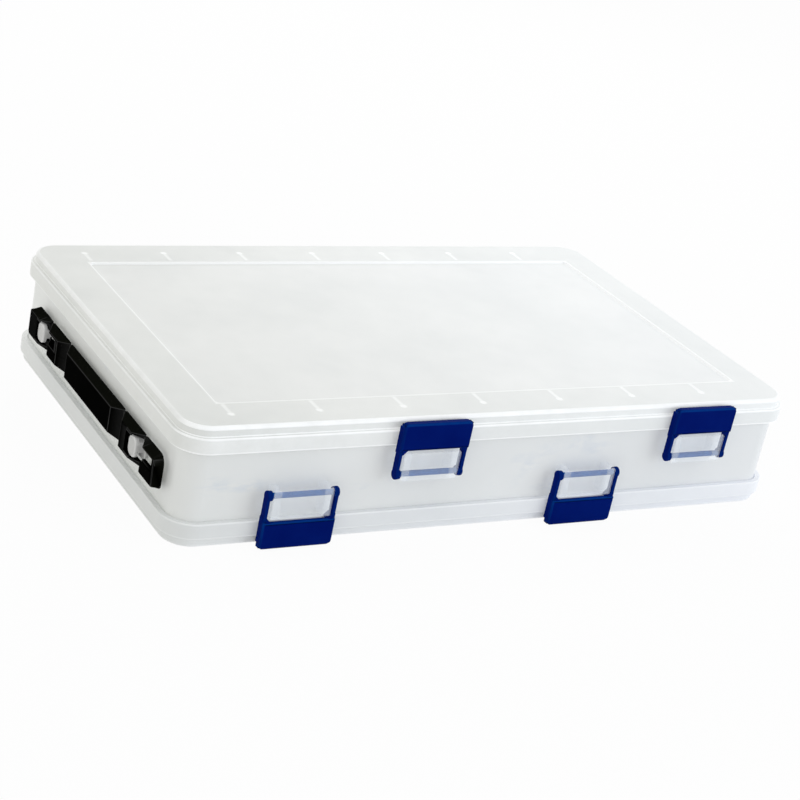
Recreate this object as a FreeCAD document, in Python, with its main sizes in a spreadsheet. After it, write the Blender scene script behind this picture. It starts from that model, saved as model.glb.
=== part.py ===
import FreeCAD, Part
import os
import Sketcher

# Double-sided lure box, millimetres. X runs along the box (carrying handle at -X),
# -Y is the side with the latches, +Z is up. Origin: centre of the plane the box
# stands on, which is the outer face of the lower lid.
# Pieces of one side are drawn hanging down from the lid's outer face (z = 0) and
# placed once as they are, for the upper side, and once turned over, for the lower.

doc = FreeCAD.newDocument("LureBox")
sizes = doc.addObject("Spreadsheet::Sheet", "Sizes")

driving = [
    ("lid_length", 270.0, "lids, outside length"),
    ("lid_width", 169.0, "lids, outside width"),
    ("total_height", 47.0, "whole box, lid face to lid face"),
    ("lid_corner", 12.0, "lids, outside corner radius"),
    ("lid_depth", 10.0, "lid face to the skirt's edge"),
    ("ledge_drop", 3.8, "lid face to the ledge round the skirt"),
    ("ledge_inset", 1.5, "upper tier of the skirt stands back by this"),
    ("lid_round", 1.4, "rounding of the lid's top edge"),
    ("ledge_round", 0.5, "rounding of the ledge's edge"),
    ("lid_plate", 1.6, "thickness of the lid's top plate"),
    ("lid_wall", 1.7, "thickness of the skirt's upper tier"),
    ("panel_drop", 0.8, "sunken panel in the lid"),
    ("panel_left", 20.0, "lid's end to the panel, handle end"),
    ("panel_right", 18.0, "lid's end to the panel, other end"),
    ("panel_front", 20.0, "lid's front edge to the panel"),
    ("panel_back", 21.0, "lid's back edge to the panel"),
    ("panel_corner", 2.0, "corner radius of the panel"),
    ("rib_width", 1.2, "locating ribs under the lid"),
    ("rib_depth", 2.0, "height of those ribs"),
    ("rib_edge", 10.5, "lid's edge to the outer end of a rib"),
    ("case_inset", 2.6, "case wall stands in from the lid's edge"),
    ("case_wall", 1.8, "thickness of the case wall"),
    ("case_plate", 1.8, "thickness of the plate between the two sides"),
    ("rim_drop", 4.4, "lid face to the rim of the case wall"),
    ("lid_gap", 0.4, "clearance, skirt to case wall"),
    ("rim_gap", 0.3, "clearance, lid to the rim"),
    ("divider_drop", 4.8, "lid face to a divider's top edge"),
    ("divider_root", 1.6, "divider thickness at the plate"),
    ("divider_tip", 1.2, "divider thickness at its top edge"),
    ("first_bay", 21.5, "lid's end to the middle of the first divider"),
    ("last_bay", 40.9, "lid's end to the middle of the last divider"),
    ("hinge_out", 2.7, "hinge pin behind the lid's back edge"),
    ("hinge_drop", 0.8, "hinge pin below the skirt's edge"),
    ("pin_radius", 1.2, "hinge pin"),
    ("pin_gap", 0.06, "running clearance round the hinge pin"),
    ("clip_wall", 1.14, "wall of the clip round its bore"),
    ("clip_width", 14.0, "clip, along the pin"),
    ("clip_snap", 0.2, "each lip of the clip's mouth holds the pin by this"),
    ("clip_foot", 7.0, "height of the clip's foot on the wall"),
    ("lug_ring", 1.0, "lid lug, wall round the pin"),
    ("lug_thick", 2.5, "lid lug, along the pin"),
    ("lug_gap", 0.3, "clearance, lug to clip"),
    ("lug_below", 0.8, "ledge to the lug's upper end"),
    ("hinge_end", 45.0, "lid's end to the nearer hinge"),
    ("hinge_mid", 40.0, "box centre to the other hinge"),
    ("latch_width", 29.0, "latch, along X"),
    ("latch_proud", 4.0, "latch face in front of the lid's edge"),
    ("latch_gap", 0.12, "clearance, latch to the lid's edge"),
    ("plate_below", 0.8, "latch's plate beyond the skirt's edge"),
    ("latch_skin", 1.6, "thickness of the plate"),
    ("arm_width", 1.5, "side walls of the latch"),
    ("arm_thick", 1.2, "latch arms, along X"),
    ("arm_set", 0.6, "latch face to the arms' front"),
    ("arm_ring", 0.9, "round end of an arm, wall round the rod"),
    ("gusset", 1.6, "corner between arm and plate"),
    ("lip_gap", 0.3, "clearance, hooking lip to the ledge"),
    ("lip_thick", 1.3, "thickness of the hooking lip"),
    ("tip_step", 0.98, "tip of the plate stands back behind the lip"),
    ("latch_bevel", 0.9, "bevel along the latch's tip"),
    ("latch_round", 0.8, "rounding of the latch's outer edges"),
    ("rod_radius", 1.1, "rod the latch turns on"),
    ("rod_depth", 2.1, "latch face to the rod's axis"),
    ("rod_below", 10.0, "latch's plate to the rod's axis"),
    ("rod_gap", 0.06, "running clearance round the rod"),
    ("boss_ring", 0.8, "boss at each arm, wall round the rod"),
    ("boss_thick", 0.8, "boss, along the rod"),
    ("bracket_gap", 0.4, "clearance, bracket to the bosses beside it"),
    ("bracket_web", 3.2, "side webs of the bracket"),
    ("bracket_skin", 0.9, "front panel of the bracket"),
    ("bracket_below", 1.2, "latch's plate to the bracket's near end"),
    ("bracket_foot", 2.3, "rod's axis to the bracket's far end"),
    ("rod_snap", 0.15, "each lip of the bracket's mouth holds the rod by this"),
    ("bracket_bevel", 0.7, "bevel on the bracket's front panel"),
    ("latch_upper_left", -36.7, "X of the upper latch nearer the handle"),
    ("latch_upper_end", 48.0, "lid's end to the other upper latch"),
    ("latch_lower_end", 48.0, "lid's end to the lower latch at the handle"),
    ("latch_lower_right", 36.7, "X of the other lower latch"),
    ("handle_mid", -4.95, "Y of the handle's middle, as it lies"),
    ("handle_back", 1.8, "case wall to the handle"),
    ("handle_thick", 4.1, "handle, out from the wall"),
    ("handle_high", 13.0, "handle, along Z"),
    ("handle_round", 4.5, "rounding of the handle's ends"),
    ("edge_round", 0.6, "rounding along the handle's outer edges"),
    ("link_length", 20.3, "handle, from the outer film hinge to the inner"),
    ("tail_length", 16.5, "handle, from the outer film hinge to its end"),
    ("notch_half", 5.5, "half width of the notch at a film hinge"),
    ("relief_half", 0.8, "half width of the small notch behind it"),
    ("film_depth", 0.7, "handle's wall side to the film hinge"),
    ("film_bead", 0.6, "bead that stands for the film"),
    ("film_gap", 0.12, "running clearance round the bead"),
    ("window_run", 14.0, "window for the peg, inward of the outer film hinge"),
    ("slot_run", 12.5, "slot for the peg's neck, outward of that hinge"),
    ("pocket_past", 0.1, "head pocket beyond the head when the neck stops"),
    ("web_thick", 1.3, "web the peg's head holds back"),
    ("peg_reach", 49.0, "box centre to a peg"),
    ("neck_width", 4.0, "peg's neck, square"),
    ("neck_gap", 0.2, "clearance, neck to its slot"),
    ("head_long", 8.0, "peg's head, along the handle"),
    ("head_high", 8.7, "peg's head, across the handle"),
    ("head_thick", 1.7, "peg's head, out from the wall"),
    ("head_corner", 1.5, "corner radius of the head"),
    ("head_side_gap", 0.35, "clearance, head to its pocket"),
    ("head_gap", 0.4, "clearance, head to the web"),
    ("seat_gap", 0.3, "clearance, handle to the peg's seat"),
]

derived = [
    ("half_length", "lid_length / 2"),
    ("half_width", "lid_width / 2"),
    ("half_height", "total_height / 2"),
    ("divider_pitch", "(lid_length - first_bay - last_bay) / 6"),
    ("half_root", "divider_root / 2"),
    ("half_tip", "divider_tip / 2"),
    ("half_rib", "rib_width / 2"),
    ("case_x", "half_length - case_inset"),
    ("case_y", "half_width - case_inset"),
    ("inside_x", "case_x - case_wall"),
    ("inside_y", "case_y - case_wall"),
    ("case_corner", "lid_corner - case_inset"),
    ("inside_corner", "case_corner - case_wall"),
    ("tier_x", "half_length - ledge_inset"),
    ("tier_y", "half_width - ledge_inset"),
    ("tier_corner", "lid_corner - ledge_inset"),
    ("skirt_x", "case_x + lid_gap"),
    ("skirt_y", "case_y + lid_gap"),
    ("skirt_corner", "case_corner + lid_gap"),
    ("roof_x", "tier_x - lid_wall"),
    ("roof_y", "tier_y - lid_wall"),
    ("roof_corner", "tier_corner - lid_wall"),
    ("plate_face", "half_height - case_plate / 2"),
    ("axis_y", "half_width + hinge_out"),
    ("axis_drop", "lid_depth + hinge_drop"),
    ("clip_radius", "pin_radius + pin_gap + clip_wall"),
    ("half_clip", "clip_width / 2"),
    ("clip_lip", "pin_radius - clip_snap"),
    ("lug_radius", "pin_radius + lug_ring"),
    ("lug_top", "ledge_drop + lug_below"),
    ("lip_low", "ledge_drop - lip_gap"),
    ("lip_top", "lip_low - lip_thick"),
    ("latch_plate", "lid_depth + plate_below"),
    ("latch_face", "half_width + latch_proud"),
    ("latch_back", "half_width + latch_gap"),
    ("latch_half", "latch_width / 2"),
    ("arm_in", "latch_half - arm_width"),
    ("arm_radius", "rod_radius + arm_ring"),
    ("rod_y", "latch_face - rod_depth"),
    ("rod_drop", "latch_plate + rod_below"),
    ("rod_lip", "rod_radius - rod_snap"),
    ("boss_radius", "rod_radius + boss_ring"),
    ("bracket_half", "arm_in - boss_thick - bracket_gap"),
    ("bracket_top", "latch_plate + bracket_below"),
    ("bracket_low", "rod_drop + bracket_foot"),
    ("wall_side", "case_x + handle_back"),
    ("outer_side", "wall_side + handle_thick"),
    ("film_side", "wall_side + film_depth"),
    ("web_side", "wall_side + web_thick"),
    ("head_under", "web_side + head_gap"),
    ("half_handle", "handle_high / 2"),
    ("half_head", "head_high / 2"),
    ("half_long", "head_long / 2"),
    ("half_neck", "neck_width / 2"),
    ("pocket_half", "half_head + head_side_gap"),
    ("slot_half", "half_neck + neck_gap"),
    ("hinge_outer", "peg_reach"),
    ("hinge_inner", "hinge_outer - link_length"),
    ("handle_half", "hinge_outer + tail_length"),
    ("slot_start", "hinge_outer - window_run"),
    ("slot_end", "hinge_outer + slot_run"),
    ("pocket_end", "slot_end + half_long - half_neck + pocket_past"),
]

row = 0
for alias, amount, note in driving:
    row += 1
    sizes.set("A%d" % row, note)
    sizes.set("B%d" % row, str(amount))
    sizes.setAlias("B%d" % row, alias)
for alias, formula in derived:
    row += 1
    sizes.set("A%d" % row, "follows from the sizes above")
    sizes.set("B%d" % row, "=" + formula)
    sizes.setAlias("B%d" % row, alias)
doc.recompute()

DIVIDERS = 7
parts = []


# A size is written as a sum of named sizes, such as "half_length - case_inset".
def number(text):
    total = 0.0
    sign = 1.0
    for word in text.split():
        if word == "-":
            sign = -1.0
        elif word == "+":
            sign = 1.0
        else:
            total += sign * float(sizes.get(word) if word[0].isalpha() else word)
            sign = 1.0
    return total


def bound(text):
    words = ["Sizes." + word if word[0].isalpha() else word for word in text.split()]
    return " ".join(words)


def less(text):
    # The same sum with every sign turned round.
    words = text.split()
    if words[0] not in "+-":
        words.insert(0, "+")
    turned = ["-" if word == "+" else "+" if word == "-" else word for word in words]
    return " ".join(turned[1:] if turned[0] == "+" else turned)


class Drawing:
    # A sketch on one of its body's origin planes, every point tied to the sheet.
    # Planes: XY looks along Z; XZ has its normal along -Y; YZ along +X.

    def __init__(self, body, name, plane, offset):
        self.sketch = body.newObject("Sketcher::SketchObject", name)
        for feature in body.Origin.OriginFeatures:
            if feature.Role == plane + "_Plane":
                self.sketch.AttachmentSupport = (feature, [""])
        self.sketch.MapMode = "FlatFace"
        shift = FreeCAD.Vector(0, 0, number(offset))
        self.sketch.AttachmentOffset = FreeCAD.Placement(shift, FreeCAD.Rotation())
        self.sketch.setExpression("AttachmentOffset.Base.z", bound(offset))
        self.rules = []
        self.ties = []

    def rule(self, *words):
        self.rules.append(Sketcher.Constraint(*words))

    def tie(self, kind, words, text):
        value = number(text)
        self.ties.append((len(self.rules), text))
        self.rules.append(Sketcher.Constraint(kind, *words, value))

    def point(self, geometry, end, x, y):
        self.tie("DistanceX", (-1, 1, geometry, end), x)
        self.tie("DistanceY", (-1, 1, geometry, end), y)

    def polygon(self, points):
        corners = [FreeCAD.Vector(number(x), number(y), 0) for x, y in points]
        count = len(points)
        lines = []
        for i in range(count):
            line = Part.LineSegment(corners[i], corners[(i + 1) % count])
            lines.append(self.sketch.addGeometry(line, False))
        for i in range(count):
            self.rule("Coincident", lines[i], 2, lines[(i + 1) % count], 1)
            self.point(lines[i], 1, *points[i])
        return self

    def rectangle(self, left, right, low, high):
        return self.polygon([(left, low), (right, low), (right, high), (left, high)])

    def circle(self, x, y, radius):
        centre = FreeCAD.Vector(number(x), number(y), 0)
        ring = Part.Circle(centre, FreeCAD.Vector(0, 0, 1), number(radius))
        geometry = self.sketch.addGeometry(ring, False)
        self.point(geometry, 3, x, y)
        self.tie("Radius", (geometry,), radius)
        return self

    def rounded(self, left, right, low, high, radius):
        a, b, c, d, r = [number(text) for text in (left, right, low, high, radius)]
        up = FreeCAD.Vector(0, 0, 1)
        quarter = 1.5707963267948966
        runs = [((a + r, c), (b - r, c)), ((b, c + r), (b, d - r)),
                ((b - r, d), (a + r, d)), ((a, d - r), (a, c + r))]
        turns = [(b - r, c + r, -1), (b - r, d - r, 0), (a + r, d - r, 1), (a + r, c + r, 2)]
        lines = []
        arcs = []
        for (x0, y0), (x1, y1) in runs:
            line = Part.LineSegment(FreeCAD.Vector(x0, y0, 0), FreeCAD.Vector(x1, y1, 0))
            lines.append(self.sketch.addGeometry(line, False))
        for x, y, turn in turns:
            ring = Part.Circle(FreeCAD.Vector(x, y, 0), up, r)
            arc = Part.ArcOfCircle(ring, turn * quarter, (turn + 1) * quarter)
            arcs.append(self.sketch.addGeometry(arc, False))
        for i in range(4):
            self.rule("Tangent", lines[i], 2, arcs[i], 1)
            self.rule("Tangent", arcs[i], 2, lines[(i + 1) % 4], 1)
            self.rule("Vertical" if i % 2 else "Horizontal", lines[i])
        for i in range(3):
            self.rule("Equal", arcs[i], arcs[i + 1])
        self.tie("Radius", (arcs[0],), radius)
        self.tie("DistanceY", (-1, 1, lines[0], 1), low)
        self.tie("DistanceX", (-1, 1, lines[1], 1), right)
        self.tie("DistanceY", (-1, 1, lines[2], 1), high)
        self.tie("DistanceX", (-1, 1, lines[3], 1), left)
        return self

    def done(self):
        self.sketch.addConstraint(self.rules)
        for index, text in self.ties:
            self.sketch.renameConstraint(index, "size%d" % index)
            self.sketch.setExpression("Constraints.size%d" % index, bound(text))
        return self.sketch


def new_body(name):
    body = doc.addObject("PartDesign::Body", name)
    body.Label = name
    parts.append(body)
    return body


def pad(body, name, drawing, length):
    feature = body.newObject("PartDesign::Pad", name)
    feature.Profile = drawing.done()
    feature.Length = number(length)
    feature.setExpression("Length", bound(length))
    doc.recompute()
    return feature


def cut(body, name, drawing, length, along=True):
    # along: the cut runs the way the plane's normal points.
    before = body.Shape.Volume
    feature = body.newObject("PartDesign::Pocket", name)
    feature.Profile = drawing.done()
    feature.Length = number(length)
    feature.setExpression("Length", bound(length))
    feature.Reversed = along
    doc.recompute()
    if not body.Shape.Volume < before - 1e-6:
        raise RuntimeError("%s cuts nothing" % name)
    return feature


def edges_where(feature, test):
    names = []
    for i, edge in enumerate(feature.Shape.Edges):
        box = edge.BoundBox
        if test(box):
            names.append("Edge%d" % (i + 1))
    if not names:
        raise RuntimeError("no edges found on %s" % feature.Name)
    return names


def soften(body, name, feature, kind, size, test):
    softened = body.newObject("PartDesign::" + kind, name)
    softened.Base = (feature, edges_where(feature, test))
    softened.Refine = True
    key = "Radius" if kind == "Fillet" else "Size"
    setattr(softened, key, number(size))
    softened.setExpression(key, bound(size))
    doc.recompute()
    return softened


def near(a, b):
    return abs(a - b) < 1e-4


def level(box, z):
    return near(box.ZMin, z) and near(box.ZMax, z)


# Places a piece of one side: X of its own middle, and turned over for the lower side.
def place_side(body, turned, x=None):
    angle = 180 if turned else 0
    turn = FreeCAD.Rotation(FreeCAD.Vector(0, 1, 0), angle)
    top = 0.0 if turned else number("total_height")
    across = number(x) if x else 0.0
    body.Placement = FreeCAD.Placement(FreeCAD.Vector(across, 0, top), turn)
    if not turned:
        body.setExpression("Placement.Base.z", bound("total_height"))
    if x:
        body.setExpression("Placement.Base.x", bound(x))


# Places a piece at the handle: its own middle at the box's mid height, turned for the front.
def place_handle(body, turned, y):
    angle = 180 if turned else 0
    turn = FreeCAD.Rotation(FreeCAD.Vector(1, 0, 0), angle)
    base = FreeCAD.Vector(0, number(y), number("half_height"))
    body.Placement = FreeCAD.Placement(base, turn)
    body.setExpression("Placement.Base.y", bound(y))
    body.setExpression("Placement.Base.z", bound("half_height"))


# Case: one moulding. Its ring of walls, its middle plate, its dividers and what stands on
# its walls are drawn as pieces that meet face to face.
body = new_body("case_walls")
ring = Drawing(body, "ring", "XY", "rim_drop")
ring.rounded("- case_x", "case_x", "- case_y", "case_y", "case_corner")
ring.rounded("- inside_x", "inside_x", "- inside_y", "inside_y", "inside_corner")
pad(body, "walls", ring, "total_height - rim_drop - rim_drop")

body = new_body("case_plate")
outline = Drawing(body, "outline", "XY", "plate_face")
outline.rounded("- inside_x", "inside_x", "- inside_y", "inside_y", "inside_corner")
pad(body, "plate", outline, "case_plate")


# Divider: tapered wall across the box, standing on the middle plate.
def divider(name, index, turned):
    body = new_body(name)
    wall = Drawing(body, name + "_section", "XZ", "- inside_y")
    middle = "- half_length + first_bay" + " + divider_pitch" * index
    low = "- plate_face"
    high = "- divider_drop"
    wall.polygon([(middle + " - half_root", low), (middle + " + half_root", low),
                  (middle + " + half_tip", high), (middle + " - half_tip", high)])
    pad(body, name + "_wall", wall, "inside_y + inside_y")
    place_side(body, turned)


for i in range(DIVIDERS):
    divider("divider_upper_%d" % (i + 1), i, False)
for i in range(DIVIDERS):
    divider("divider_lower_%d" % (i + 1), i, True)


# Bracket for a latch: front panel on two webs, with a snap bore for the rod.
def bracket(name, x, turned):
    body = new_body(name)
    plan = Drawing(body, name + "_plan", "XY", "- bracket_low")
    front = "- latch_face"
    inside = "bracket_half - bracket_web"
    plan.polygon([
        ("- bracket_half", "- case_y"), ("- bracket_half", front),
        ("bracket_half", front), ("bracket_half", "- case_y"),
        (inside, "- case_y"), (inside, front + " + bracket_skin"),
        (less(inside), front + " + bracket_skin"), (less(inside), "- case_y"),
    ])
    pad(body, name + "_panel", plan, "bracket_low - bracket_top")
    bore = Drawing(body, name + "_bore_ring", "YZ", "- bracket_half - 1")
    bore.circle("- rod_y", "- rod_drop", "rod_radius + rod_gap")
    cut(body, name + "_bore", bore, "bracket_half + bracket_half + 2")
    mouth = Drawing(body, name + "_mouth_outline", "YZ", "- bracket_half - 1")
    mouth.rectangle("- rod_y - rod_lip", "- rod_y + rod_lip", "- bracket_low - 1", "- rod_drop")
    last = cut(body, name + "_mouth", mouth, "bracket_half + bracket_half + 2")
    top = number("- bracket_top")
    face = number("- latch_face")
    soften(body, name + "_bevel", last, "Chamfer", "bracket_bevel",
           lambda box: level(box, top) and near(box.YMin, face) and near(box.YMax, face))
    place_side(body, turned, x)


bracket("bracket_upper_left", "latch_upper_left", False)
bracket("bracket_upper_right", "half_length - latch_upper_end", False)
bracket("bracket_lower_left", "- half_length + latch_lower_end", True)
bracket("bracket_lower_right", "latch_lower_right", True)


# Hinge clip: a C that the lid's pin snaps into from behind, on a foot on the back wall.
def clip(name, x, turned):
    body = new_body(name)
    start = "- half_clip"
    foot = Drawing(body, name + "_foot_outline", "YZ", start)
    foot.polygon([
        ("case_y", "- axis_drop + 0.2"), ("case_y", "- axis_drop - clip_foot"),
        ("axis_y - 1.6", "- axis_drop - clip_radius"), ("axis_y", "- axis_drop - clip_radius"),
        ("axis_y", "- axis_drop + 0.2"),
    ])
    pad(body, name + "_foot", foot, "clip_width")
    hoop = Drawing(body, name + "_hoop_ring", "YZ", start)
    hoop.circle("axis_y", "- axis_drop", "clip_radius")
    pad(body, name + "_hoop", hoop, "clip_width")
    bore = Drawing(body, name + "_bore_ring", "YZ", start + " - 1")
    bore.circle("axis_y", "- axis_drop", "pin_radius + pin_gap")
    cut(body, name + "_bore", bore, "clip_width + 2")
    mouth = Drawing(body, name + "_mouth_outline", "YZ", start + " - 1")
    mouth.rectangle("axis_y", "axis_y + clip_radius + 1",
                    "- axis_drop - clip_lip", "- axis_drop + clip_lip")
    cut(body, name + "_mouth", mouth, "clip_width + 2")
    place_side(body, turned, x)


clip("clip_upper_left", "- hinge_mid", False)
clip("clip_upper_right", "half_length - hinge_end", False)
clip("clip_lower_left", "- half_length + hinge_end", True)
clip("clip_lower_right", "hinge_mid", True)


# Lid: stepped skirt, rounded top edge, sunken panel, ribs over the dividers and, at the
# back, two pairs of lugs that carry the hinge pins.
def lid(name, turned):
    body = new_body(name)
    skirt = Drawing(body, name + "_skirt_outline", "XY", "- lid_depth")
    skirt.rounded("- half_length", "half_length", "- half_width", "half_width", "lid_corner")
    pad(body, name + "_skirt", skirt, "lid_depth - ledge_drop")
    tier = Drawing(body, name + "_tier_outline", "XY", "- ledge_drop")
    tier.rounded("- tier_x", "tier_x", "- tier_y", "tier_y", "tier_corner")
    last = pad(body, name + "_tier", tier, "ledge_drop")
    last = soften(body, name + "_round", last, "Fillet", "lid_round", lambda box: level(box, 0))
    ledge = number("- ledge_drop")
    outer = number("tier_x") + 1e-3
    reach = number("tier_y") + 1e-3
    soften(body, name + "_ledge_round", last, "Fillet", "ledge_round",
           lambda box: level(box, ledge) and (max(-box.XMin, box.XMax) > outer
                                              or max(-box.YMin, box.YMax) > reach))
    mouth = Drawing(body, name + "_mouth_outline", "XY", "- lid_depth")
    mouth.rounded("- skirt_x", "skirt_x", "- skirt_y", "skirt_y", "skirt_corner")
    cut(body, name + "_mouth", mouth, "lid_depth - rim_drop + rim_gap")
    roof = Drawing(body, name + "_roof_outline", "XY", "- lid_depth")
    roof.rounded("- roof_x", "roof_x", "- roof_y", "roof_y", "roof_corner")
    cut(body, name + "_roof", roof, "lid_depth - lid_plate")
    left = "- half_length + panel_left"
    right = "half_length - panel_right"
    low = "- half_width + panel_front"
    high = "half_width - panel_back"
    under = Drawing(body, name + "_under_outline", "XY", "- lid_plate - panel_drop")
    under.rounded(left + " - lid_plate", right + " + lid_plate", low + " - lid_plate",
                  high + " + lid_plate", "panel_corner + lid_plate")
    pad(body, name + "_under", under, "panel_drop")
    panel = Drawing(body, name + "_panel_outline", "XY", "- panel_drop")
    panel.rounded(left, right, low, high, "panel_corner")
    cut(body, name + "_panel", panel, "panel_drop")
    start = "- half_length + first_bay - half_rib"
    stop = "- half_length + first_bay + half_rib"
    ribs = Drawing(body, name + "_rib_outlines", "XY", "- lid_plate - rib_depth")
    ribs.rectangle(start, stop, "- half_width + rib_edge", low + " - lid_plate")
    ribs.rectangle(start, stop, high + " + lid_plate", "half_width - rib_edge")
    rib = pad(body, name + "_ribs", ribs, "rib_depth")
    rows = body.newObject("PartDesign::LinearPattern", name + "_rib_rows")
    rows.Originals = [rib]
    rows.Direction = (ribs.sketch, ["H_Axis"])
    rows.Length = 6 * number("divider_pitch")
    rows.setExpression("Length", "6 * Sizes.divider_pitch")
    rows.Occurrences = DIVIDERS
    body.Tip = rows
    doc.recompute()
    for mark, x in (("a", "- hinge_mid"), ("b", "half_length - hinge_end")):
        for side, edge in (("left", x + " - half_clip - lug_gap - lug_thick"),
                           ("right", x + " + half_clip + lug_gap")):
            lug = Drawing(body, name + "_lug_" + mark + side, "YZ", edge)
            lug.polygon([
                ("half_width - ledge_round", "- lug_top"),
                ("half_width - ledge_round", "- lid_depth"),
                ("axis_y - lug_radius", "- axis_drop"),
                ("axis_y + lug_radius", "- axis_drop"),
                ("axis_y + lug_radius", "- axis_drop + 1"),
                ("half_width + 0.5", "- lug_top"),
            ])
            pad(body, name + "_lug_web_" + mark + side, lug, "lug_thick")
            eye = Drawing(body, name + "_eye_" + mark + side, "YZ", edge)
            eye.circle("axis_y", "- axis_drop", "lug_radius")
            pad(body, name + "_lug_eye_" + mark + side, eye, "lug_thick")
        rod = Drawing(body, name + "_pin_ring_" + mark, "YZ", x + " - half_clip - lug_gap")
        rod.circle("axis_y", "- axis_drop", "pin_radius")
        pad(body, name + "_pin_" + mark, rod, "clip_width + lug_gap + lug_gap")
    place_side(body, turned)


lid("lid_upper", False)
lid("lid_lower", True)


# Latch: plate with side walls, a lip that sits over the lid's ledge, two thin arms that go
# on from the side walls, and the rod between the arms' round ends.
def latch(name, x, turned):
    body = new_body(name)
    deep = "latch_proud - latch_gap"
    frame = Drawing(body, name + "_frame_outline", "XZ", "latch_back")
    fold = "- latch_plate"
    foot = fold + " - gusset"
    frame.polygon([
        ("- latch_half", "0"), ("- latch_half", foot), ("- arm_in", foot),
        ("- arm_in + gusset", fold), ("arm_in - gusset", fold),
        ("arm_in", foot), ("latch_half", foot), ("latch_half", "0"),
    ])
    pad(body, name + "_frame", frame, deep)
    hollow = Drawing(body, name + "_hollow_outline", "XZ", "latch_back")
    hollow.rectangle("- arm_in", "arm_in", foot + " - 1", "- lip_low")
    cut(body, name + "_hollow", hollow, deep + " - latch_skin")
    step = Drawing(body, name + "_step_outline", "XZ", "latch_back")
    step.rectangle("- latch_half - 1", "latch_half + 1", "- lip_top", "1")
    last = cut(body, name + "_step", step, "tip_step")
    face = -number("latch_face")
    side = number("latch_half")
    last = soften(body, name + "_bevel", last, "Chamfer", "latch_bevel",
                  lambda box: level(box, 0) and near(box.YMin, face) and near(box.YMax, face))
    soften(body, name + "_side_round", last, "Fillet", "latch_round",
           lambda box: near(box.YMin, face) and near(box.YMax, face) and box.ZLength > 5
           and near(box.XMin, box.XMax) and near(abs(box.XMin), side))
    for mark, edge, inner in (("left", "- arm_in - arm_thick", "- arm_in"),
                              ("right", "arm_in", "arm_in - boss_thick")):
        arm = Drawing(body, name + "_arm_outline_" + mark, "YZ", edge)
        arm.rectangle("- latch_face + arm_set", "- latch_back", "- rod_drop", foot + " + 1")
        pad(body, name + "_arm_" + mark, arm, "arm_thick")
        eye = Drawing(body, name + "_eye_ring_" + mark, "YZ", edge)
        eye.circle("- rod_y", "- rod_drop", "arm_radius")
        pad(body, name + "_eye_" + mark, eye, "arm_thick")
        boss = Drawing(body, name + "_boss_ring_" + mark, "YZ", inner)
        boss.circle("- rod_y", "- rod_drop", "boss_radius")
        pad(body, name + "_boss_" + mark, boss, "boss_thick")
    rod = Drawing(body, name + "_rod_ring", "YZ", "- arm_in")
    rod.circle("- rod_y", "- rod_drop", "rod_radius")
    pad(body, name + "_rod", rod, "arm_in + arm_in")
    place_side(body, turned, x)


latch("latch_upper_left", "latch_upper_left", False)
latch("latch_upper_right", "half_length - latch_upper_end", False)
latch("latch_lower_left", "- half_length + latch_lower_end", True)
latch("latch_lower_right", "latch_lower_right", True)


# Peg on the end wall: seat, neck and head. Its head holds back the web of the handle's end.
def peg(name, y, turned):
    body = new_body(name)
    seat = Drawing(body, name + "_seat_outline", "YZ", "- wall_side + seat_gap")
    seat.rounded("- half_head", "half_head", "- half_head", "half_head", "head_corner")
    pad(body, name + "_seat", seat, "handle_back - seat_gap")
    neck = Drawing(body, name + "_neck_outline", "YZ", "- head_under")
    neck.rectangle("- half_neck", "half_neck", "- half_neck", "half_neck")
    pad(body, name + "_neck", neck, "head_under - wall_side + seat_gap")
    head = Drawing(body, name + "_head_outline", "YZ", "- head_under - head_thick")
    head.rounded("- half_long", "half_long", "- half_head", "half_head", "head_corner")
    pad(body, name + "_head", head, "head_thick")
    place_handle(body, turned, y)


peg("peg_back", "peg_reach", False)
peg("peg_front", "- peg_reach", True)


# Handle: one strip in life, with film hinges. Five stiff lengths are drawn, each with a bead
# or a hollow round the axis of its film hinge. The wide notches are on the outer side.
def hollow_round(body, name, along, last):
    ring = Drawing(body, name, "XY", "- half_handle - 1")
    ring.circle("- film_side", along, "film_bead + film_gap")
    return cut(body, name + "_cut", ring, "handle_high + 2")


def round_edges(body, name, last):
    face = -number("outer_side")
    half = number("half_handle")
    return soften(body, name, last, "Fillet", "edge_round",
                  lambda box: near(box.XMin, face) and near(box.XMax, face)
                  and (level(box, half) or level(box, -half)) and box.YLength > 2)


def handle_end(name, turned):
    body = new_body(name)
    plan = Drawing(body, name + "_plan", "XY", "- half_handle")
    plan.polygon([
        ("- film_side", "hinge_outer"), ("- outer_side", "hinge_outer + notch_half"),
        ("- outer_side", "handle_half"), ("- wall_side", "handle_half"),
        ("- wall_side", "hinge_outer + relief_half"),
    ])
    last = pad(body, name + "_strip", plan, "handle_high")
    end = number("handle_half")
    last = soften(body, name + "_end_round", last, "Fillet", "handle_round",
                  lambda box: near(box.YMin, end) and near(box.YMax, end)
                  and near(box.ZMin, box.ZMax))
    last = hollow_round(body, name + "_hollow", "hinge_outer", last)
    pocket = Drawing(body, name + "_pocket_outline", "YZ", "- outer_side - 1")
    pocket.rectangle("hinge_outer - 1", "pocket_end", "- pocket_half", "pocket_half")
    cut(body, name + "_pocket", pocket, "outer_side - web_side + 1")
    slot = Drawing(body, name + "_slot_outline", "YZ", "- outer_side - 1")
    slot.rectangle("hinge_outer - 1", "slot_end", "- slot_half", "slot_half")
    last = cut(body, name + "_slot", slot, "handle_thick + 2")
    round_edges(body, name + "_edge_round", last)
    place_handle(body, turned, "handle_mid")


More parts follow.
